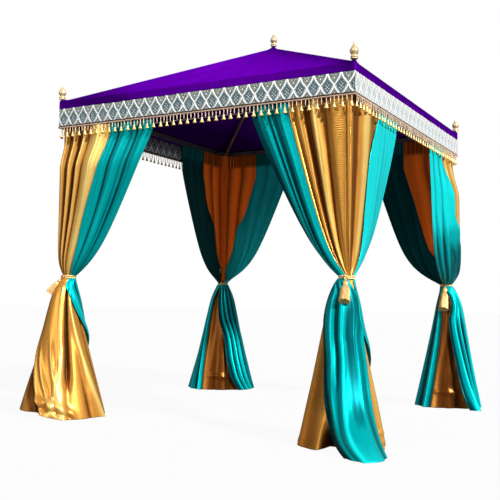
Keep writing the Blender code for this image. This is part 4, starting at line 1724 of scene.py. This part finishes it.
FRONT_LEFT = CornerPlan(
    Corner.FRONT_LEFT, bellies=(0.14, 0.24), radius=0.322, casing=((0.0, 0.05),), tassel=-8,
    tassel_lean=38, seed=13, lean=(0.0, 0.04), puff_by=0.24,
    puffs=(folds((0.0, 0.0, 1.0, 0.033, -1.0, 6)), folds((0.0, 0.0, 1.25, 0.033, -1.0, 6))),
    gold=Panel(
        (-0.545, 0.635), straight(-60, -70), curved(98, (0.14, 114), (0.3, 136), (0.47, 150), (0.7, 168),
            (1.0, 172)),
        upper=folds((0.05, 0.024, 0.012), (0.105, 0.022, -0.015), (0.16, 0.17, 0.026, 0.018),
            (0.225, 0.23, 0.026, -0.02), (0.29, 0.028, 0.02), (0.345, 0.018, -0.016), (0.47, 0.1, 0.03),
            (0.6, 0.04, 0.006), (-0.1, 0.05, -0.014), (-0.22, 0.06, 0.016), (-0.36, 0.04, -0.012),
            (-0.48, 0.05, 0.012)),
        skirt=folds((-40, 58, 5, 0.026, 0.36, 1.5), (-61, 44, 12, -0.045, 0.36), (71, 87, 6, 0.016),
            (96, 94, 5, -0.07, -1.0, 1.6), (96, 94, 5, 0.062, 0.64, 1.6), (98, 150, 7, 0.026),
            (112, 127, 4, -0.016, 0.45), (135, 172, 6, -0.014), (-28, 78, 4, 0.016, 0.4),
            (28, 88, 5, 0.018, 0.38), (107, 68, 5, 0.018, 0.42), (13, 4, -0.016),
            (13, 13, 4, 0.016, 0.25)),
        lift=folds((12, 12, 58, 0.045, -1.0, 4)),
        hems=(Hem((34, 108), (0.905, 0.995), 0.03, 0.018), Hem((40, 108), (0.95, 1.03), 0.012, -0.014))),
    teal_plus=Panel(
        (0.62, 1.13), curved(96, (0.04, 84), (0.14, 107), (0.28, 135), (0.37, 158), (0.47, 190),
            (0.58, 220), (1.0, 226)), straight(172, 255),
        upper=folds((0.66, 0.04, 0.01), (0.735, 0.018, -0.016), (0.81, 0.05, 0.01), (0.895, 0.012, -0.01),
            (0.965, 0.016, -0.014), (1.06, 0.04, 0.008)),
        skirt=folds((0.25, 0.12, 0.016), (0.6, 0.08, -0.012), (0.85, 0.08, 0.012)),
        swing=curved(0.0, (0.3, 0.02), (0.65, 0.06), (1.0, 0.0))),
    teal_minus=Panel(
        (-0.53, -1.0), straight(-58, -58), straight(-172, -138),
        upper=folds((-0.6, 0.04, 0.014), (-0.72, 0.03, -0.01), (-0.82, 0.04, 0.014), (-0.94, 0.04, 0.01)),
        skirt=folds((0.16, 0.07, 0.014), (0.32, 0.05, -0.014), (0.48, 0.07, 0.014), (0.64, 0.05, -0.012),
            (0.8, 0.07, 0.014))),
)
BACK_RIGHT = CornerPlan(
    Corner.BACK_RIGHT, bellies=(0.65, 0.4), radius=0.256, casing=((0.0, 0.05),), tassel=-128,
    tassel_size=1.6, tassel_lean=28, seed=23, lean=(-30, 0.036),
    puffs=(folds((-0.15, -0.15, 0.6, 0.075, -1.0, 3)), ()),
    gold=Panel(
        (-0.545, 0.545), straight(-25, -60), straight(25, 60),
        upper=folds((-0.1, 0.03, -0.008), (-0.2, 0.05, 0.02), (-0.31, 0.025, -0.006),
            (-0.41, 0.05, 0.022), (-0.5, 0.03, -0.004), (0.12, 0.035, -0.014), (0.22, 0.045, 0.014),
            (0.33, 0.03, -0.012), (0.44, 0.045, 0.014)),
        skirt=folds((-144, -120, 26, -0.03, -1.0, 3), (-134, -140, 3, 0.01), (-134, -118, 3, 0.01),
            (-138, -128, 3, -0.01, 0.3), (-128, -100, 3, 0.01, 0.2), (0, 12, 0.016), (30, 10, -0.01),
            (-120, -98, 11, -0.032, 0.28, 3)),
        hems=(Hem((-150, -100), (0.87, 0.9), 0.02, 0.01),),
        swing=curved(0.0, (0.2, 0.06), (0.42, 0.13), (0.6, 0.21), (0.72, 0.3), (0.84, 0.52), (0.93, 0.8),
            (1.0, 0.6))),
    teal_plus=Panel(
        (0.53, 1.0), straight(25, 70), curved(200, (0.3, 208), (1.0, 207)),
        upper=folds((0.59, 0.04, 0.014), (0.68, 0.03, -0.012), (0.77, 0.04, 0.014), (0.86, 0.025, -0.01),
            (0.94, 0.04, 0.012)),
        skirt=folds((0.99, 0.035, -0.014), (0.92, 0.035, 0.018), (0.81, 0.05, -0.018),
            (0.68, 0.045, 0.014), (0.52, 0.05, -0.014), (0.36, 0.05, 0.014), (0.18, 0.05, -0.012)),
        swing=curved(0.0, (0.2, 0.04), (0.42, 0.09), (0.6, 0.14), (0.72, 0.19), (0.84, 0.32),
            (0.93, 0.46), (1.0, 0.36)),
        tone=straight(-1.0, -1.0)),
    teal_minus=Panel(
        (-0.53, -1.0), straight(-25, -25), curved(-156, (0.07, -122), (0.31, -121), (0.53, -107),
            (0.63, -101), (0.8, -94), (1.0, -88)),
        upper=folds((-0.59, 0.04, 0.014), (-0.68, 0.03, -0.01), (-0.77, 0.04, 0.014),
            (-0.86, 0.025, -0.01), (-0.94, 0.04, 0.012)),
        skirt=folds((0.96, 0.055, -0.02), (0.79, 0.78, 0.055, 0.018), (0.67, 0.66, 0.04, -0.02, 0.2),
            (0.57, 0.55, 0.04, 0.016, 0.12), (0.43, 0.42, 0.09, -0.026, 0.16, 2.5),
            (0.3, 0.24, 0.06, 0.018), (0.2, 0.12, 0.04, -0.012), (0.08, 0.03, 0.04, 0.01)),
        reach=folds((-80, 16, 0.11)),
        swing=curved(0.0, (0.05, 0.04), (0.15, 0.075), (0.3, 0.13), (0.4, 0.2), (0.5, 0.28), (0.65, 0.46),
            (0.8, 0.56), (1.0, 0.4)),
        tone=curved(0.3, (0.5, 0.4), (0.7, -0.25), (1.0, -0.35))),
)
BACK_LEFT_SWING = curved(0.0, (0.25, 0.085), (0.33, 0.12), (0.53, 0.225), (0.66, 0.275), (0.81, 0.35),
                         (0.87, 0.395), (1.0, 0.35))
BACK_LEFT = CornerPlan(
    Corner.BACK_LEFT, bellies=(0.35, 0.35), radius=0.305, casing=((0.0, 0.05),), tassel=0.0, seed=33,
    gold=Panel(
        (-0.46, 0.46), straight(-25, -60), straight(25, 60),
        upper=folds((-0.1, 0.03, -0.014), (-0.21, 0.045, 0.014), (-0.32, 0.03, -0.012),
            (-0.43, 0.045, 0.014), (0.11, 0.035, -0.014), (0.21, 0.045, 0.014), (0.31, 0.03, -0.012),
            (0.41, 0.045, 0.014)),
        skirt=folds((-126, -158, 26, -0.034, -1.0, 3), (-130, -142, 3, 0.01), (-132, -160, 3, 0.01),
            (-136, -151, 3, -0.01, 0.3), (0, 12, 0.016), (182, 172, 13, -0.036, 0.45, 3)),
        hems=(Hem((-135, -185), (0.87, 0.9), 0.02, 0.01),),
        swing=curved(0.0, (0.25, 0.144), (0.33, 0.207), (0.53, 0.428), (0.66, 0.535), (0.81, 0.7),
            (0.87, 0.8), (1.0, 0.7))),
    teal_plus=Panel(
        (0.44, 1.0), straight(25, 60), curved(222, (0.18, 217), (0.33, 207), (0.49, 190), (0.76, 180),
            (0.91, 171), (1.0, 160)),
        upper=folds((0.5, 0.04, -0.01), (0.59, 0.04, 0.014), (0.68, 0.03, -0.012), (0.78, 0.04, 0.014),
            (0.87, 0.025, -0.01), (0.95, 0.04, 0.012)),
        skirt=folds((0.96, 0.97, 0.04, -0.024), (0.88, 0.91, 0.02, 0.02), (0.84, 0.86, 0.02, -0.024),
            (0.79, 0.8, 0.02, 0.02), (0.74, 0.018, -0.024), (0.69, 0.67, 0.022, 0.018),
            (0.63, 0.59, 0.022, -0.024), (0.56, 0.5, 0.03, 0.018), (0.46, 0.38, 0.03, -0.022),
            (0.36, 0.26, 0.05, 0.014), (0.2, 0.12, 0.05, -0.012)),
        swing=BACK_LEFT_SWING,
        tone=straight(0.45, 0.45)),
    teal_minus=Panel(
        (-0.44, -1.0), straight(-25, -60), curved(-138, (0.1, -118), (0.33, -112), (0.5, -117),
            (0.84, -125), (1.0, -129)),
        upper=folds((-0.6, 0.04, 0.014), (-0.69, 0.03, -0.01), (-0.78, 0.04, 0.014),
            (-0.88, 0.025, -0.01), (-0.95, 0.04, 0.012)),
        skirt=folds((0.99, 0.03, -0.012), (0.92, 0.91, 0.035, 0.018), (0.8, 0.78, 0.05, -0.018),
            (0.62, 0.6, 0.06, 0.014), (0.4, 0.06, -0.012), (0.2, 0.06, 0.012)),
        swing=BACK_LEFT_SWING,
        tone=straight(-1.0, -1.0)),
)


@dataclass(frozen=True)
class FrameDressing:
    """Powder-coated steel for the posts, rails, rafters and hub, whose CAD shapes stay."""

    nodes: tuple[str, ...] = (*(f"post_{c.label}" for c in Corner),
                              *(f"hip_rafter_{c.label}" for c in Corner),
                              *(f"eave_rail_{s.label}" for s in Side), "crown_hub")

    def dress(self, material: Material) -> None:
        """Put the finish on each frame node's own material slots."""
        for name in self.nodes:
            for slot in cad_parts[name].material_slots:
                slot.material = material

    @staticmethod
    def material(dust: Tree) -> Material:
        """Charcoal powder coat: orange-peel grain, dust in the corners, edges rubbed to metal."""
        material, g, shader = begin_material("charcoal_powder_coat")
        place = g.place()
        wear = g.group(dust, Place=place, Size=14.0)
        tone = g.mix(g.noise(place, 6.0, 3.0), (0.045, 0.040, 0.045), (0.085, 0.078, 0.085))
        dusty = g.mix(g.times(wear["Dust"], 0.5), tone, (0.16, 0.14, 0.12))
        colour = g.mix(g.times(wear["Rub"], 0.6), dusty, (0.38, 0.37, 0.38))
        rough = g.ramp(g.noise(place, 220.0, 3.0), 0.3, 0.7, 0.36, 0.54)
        g.feed(shader, {"Base Color": colour, "Roughness": rough, "Metallic": g.times(wear["Rub"], 0.9),
                        "Normal": g.bump(g.noise(place, 420.0, 2.0), 0.18, 0.0005)})
        return material


@dataclass(frozen=True)
class Studio:
    """Camera, pale floor, a high sun-like key from the right and a white surround."""

    place: Triple = (3.059, -5.824, 0.907)
    yaw: float = -29.187
    pitch: float = 3.403
    roll: float = 0.936
    lens: float = 57.63
    sensor: float = 36.0
    key_towards: Triple = (0.78, -0.25, 0.57)
    key_strength: float = 6.0
    key_spread: float = 4.0
    fill_towards: Triple = (-0.30, -0.85, 0.42)
    fill_strength: float = 0.9
    fill_spread: float = 30.0
    lamp_colour: Triple = (1.0, 0.97, 0.92)
    ambient: float = 0.20
    floor_rings: tuple[float, ...] = (0.01, 2.0, 6.0, 20.0, 60.0)
    floor_grey: float = 0.16
    floor_glow: float = 1.10
    floor_white: float = 0.86

    @staticmethod
    def aim(thing: Piece, *columns: Array) -> None:
        """Set an object's right, up and back directions and its place."""
        matrix = np.eye(4)
        matrix[:3, :len(columns)] = np.stack(columns, -1)
        thing.matrix_world = Matrix(matrix.tolist())

    def camera(self) -> None:
        """Add the camera: forward by yaw and pitch, then turned by roll about that axis."""
        yaw, pitch, roll = (math.radians(v) for v in (self.yaw, self.pitch, self.roll))
        forward = np.array([math.sin(yaw) * math.cos(pitch), math.cos(yaw) * math.cos(pitch),
                            math.sin(pitch)])
        level = np.array([math.cos(yaw), -math.sin(yaw), 0.0])
        upright = np.cross(level, forward)
        right = math.cos(roll) * level + math.sin(roll) * upright
        up = math.cos(roll) * upright - math.sin(roll) * level
        data = bpy.data.cameras.new("camera")
        data.lens = self.lens
        data.sensor_width = self.sensor
        data.sensor_height = self.sensor
        data.sensor_fit = "HORIZONTAL"
        data.clip_end = 200.0
        camera = add_object("camera", data)
        self.aim(camera, right, up, -forward, self.place)
        bpy.context.scene.camera = camera

    def lamp(self, name: str, place: Triple, strength: float, spread: float) -> None:
        """Add a distant lamp.

        Args:
            name: Lamp name.
            place: The direction that it shines from.
            strength: Its strength.
            spread: Its width in degrees.
        """
        sun = bpy.data.lights.new(name, "SUN")
        sun.energy = strength
        sun.angle = math.radians(spread)
        sun.color = self.lamp_colour
        towards = np.array(place) / np.linalg.norm(place)
        side = np.cross([0.0, 0.0, 1.0], towards)
        side /= np.linalg.norm(side)
        self.aim(add_object(name, sun), side, np.cross(towards, side), towards)

    def light(self) -> None:
        """Add both lamps and a surround that is white to the camera and dim to the cloth."""
        self.lamp("key", self.key_towards, self.key_strength, self.key_spread)
        self.lamp("fill", self.fill_towards, self.fill_strength, self.fill_spread)
        world = bpy.data.worlds.new("surround")
        bpy.context.scene.world = world
        world.use_nodes = True
        g = Graph(world.node_tree)
        bright = g.math("MULTIPLY_ADD", g.seen(), 1.0 - self.ambient, self.ambient)
        g.feed(world.node_tree.nodes["Background"], {"Strength": bright, "Color": (1.0, 1.0, 1.0)})

    def floor(self) -> None:
        """Add the floor, a gently graded white disc with faint shadows."""
        ring = turned_rings(np.array([(radius, 0.0) for radius in self.floor_rings]), 48)
        grid = Surface.grid(ring, wrap=True)
        mesh = bpy.data.meshes.new("studio_floor")
        mesh.from_pydata(grid.points.tolist(), [], grid.quads.tolist())
        material, g, shader = begin_material("white_floor")
        g.feed(shader, {"Base Color": (self.floor_grey,) * 3, "Roughness": 0.9,
                        "Specular IOR Level": 0.1})
        glow = g.feed(g.add("ShaderNodeEmission"), {"Strength": self.floor_glow})
        g.surface(g.times(g.seen(), self.floor_white), shader.outputs[0], glow[0])
        mesh.materials.append(material)
        add_object("studio_floor", mesh)

    def build(self) -> None:
        """Set up camera, light, floor and plain colour handling."""
        self.camera()
        self.light()
        self.floor()
        bpy.context.scene.view_settings.view_transform = "Standard"


def main() -> None:
    """Build every piece in order and report it."""
    logging.basicConfig(level=logging.INFO, format="%(message)s")
    Studio().build()
    weave, dust = weave_group(), dust_group()
    gold, teal, purple = (f.material(weave) for f in (GOLD_SATIN, TEAL_SATIN, PURPLE_SATIN))
    braid, piping, strings, bells, rope = (
        f.material(weave) for f in (BRAID, PIPING, STRINGS, BELLS, ROPE))
    pieces = [RoofCover().build(purple)]
    border, fringe = Border(), Fringe()
    woven = border.material()
    for side in Side:
        pieces.append(border.build(side, woven))
        pieces.append(fringe.build(side, [braid, piping, strings, bells]))
    finial = Finial()
    gilt = finial.material(dust)
    for node in (*(f"corner_finial_{c.label}" for c in Corner), "apex_finial"):
        pieces.append(finial.build(node, gilt))
    for plan in (FRONT_RIGHT, FRONT_LEFT, BACK_RIGHT, BACK_LEFT):
        drapes = Drapes(plan)
        sx, sy = plan.corner.value
        pieces.append(drapes.gold(gold))
        pieces.append(drapes.teal(plan.teal_plus, "front" if sy < 0 else "back", teal))
        pieces.append(drapes.teal(plan.teal_minus, "right" if sx > 0 else "left", teal))
        pieces.append(Tieback(plan).build(rope))
    dressing = FrameDressing()
    dressing.dress(dressing.material(dust))
    for piece in pieces:
        LOG.info("%s: %d faces", piece.name, len(piece.data.polygons))
    LOG.info("all pieces: %d faces", sum(len(p.data.polygons) for p in pieces))


if __name__ == "__main__":
    main()
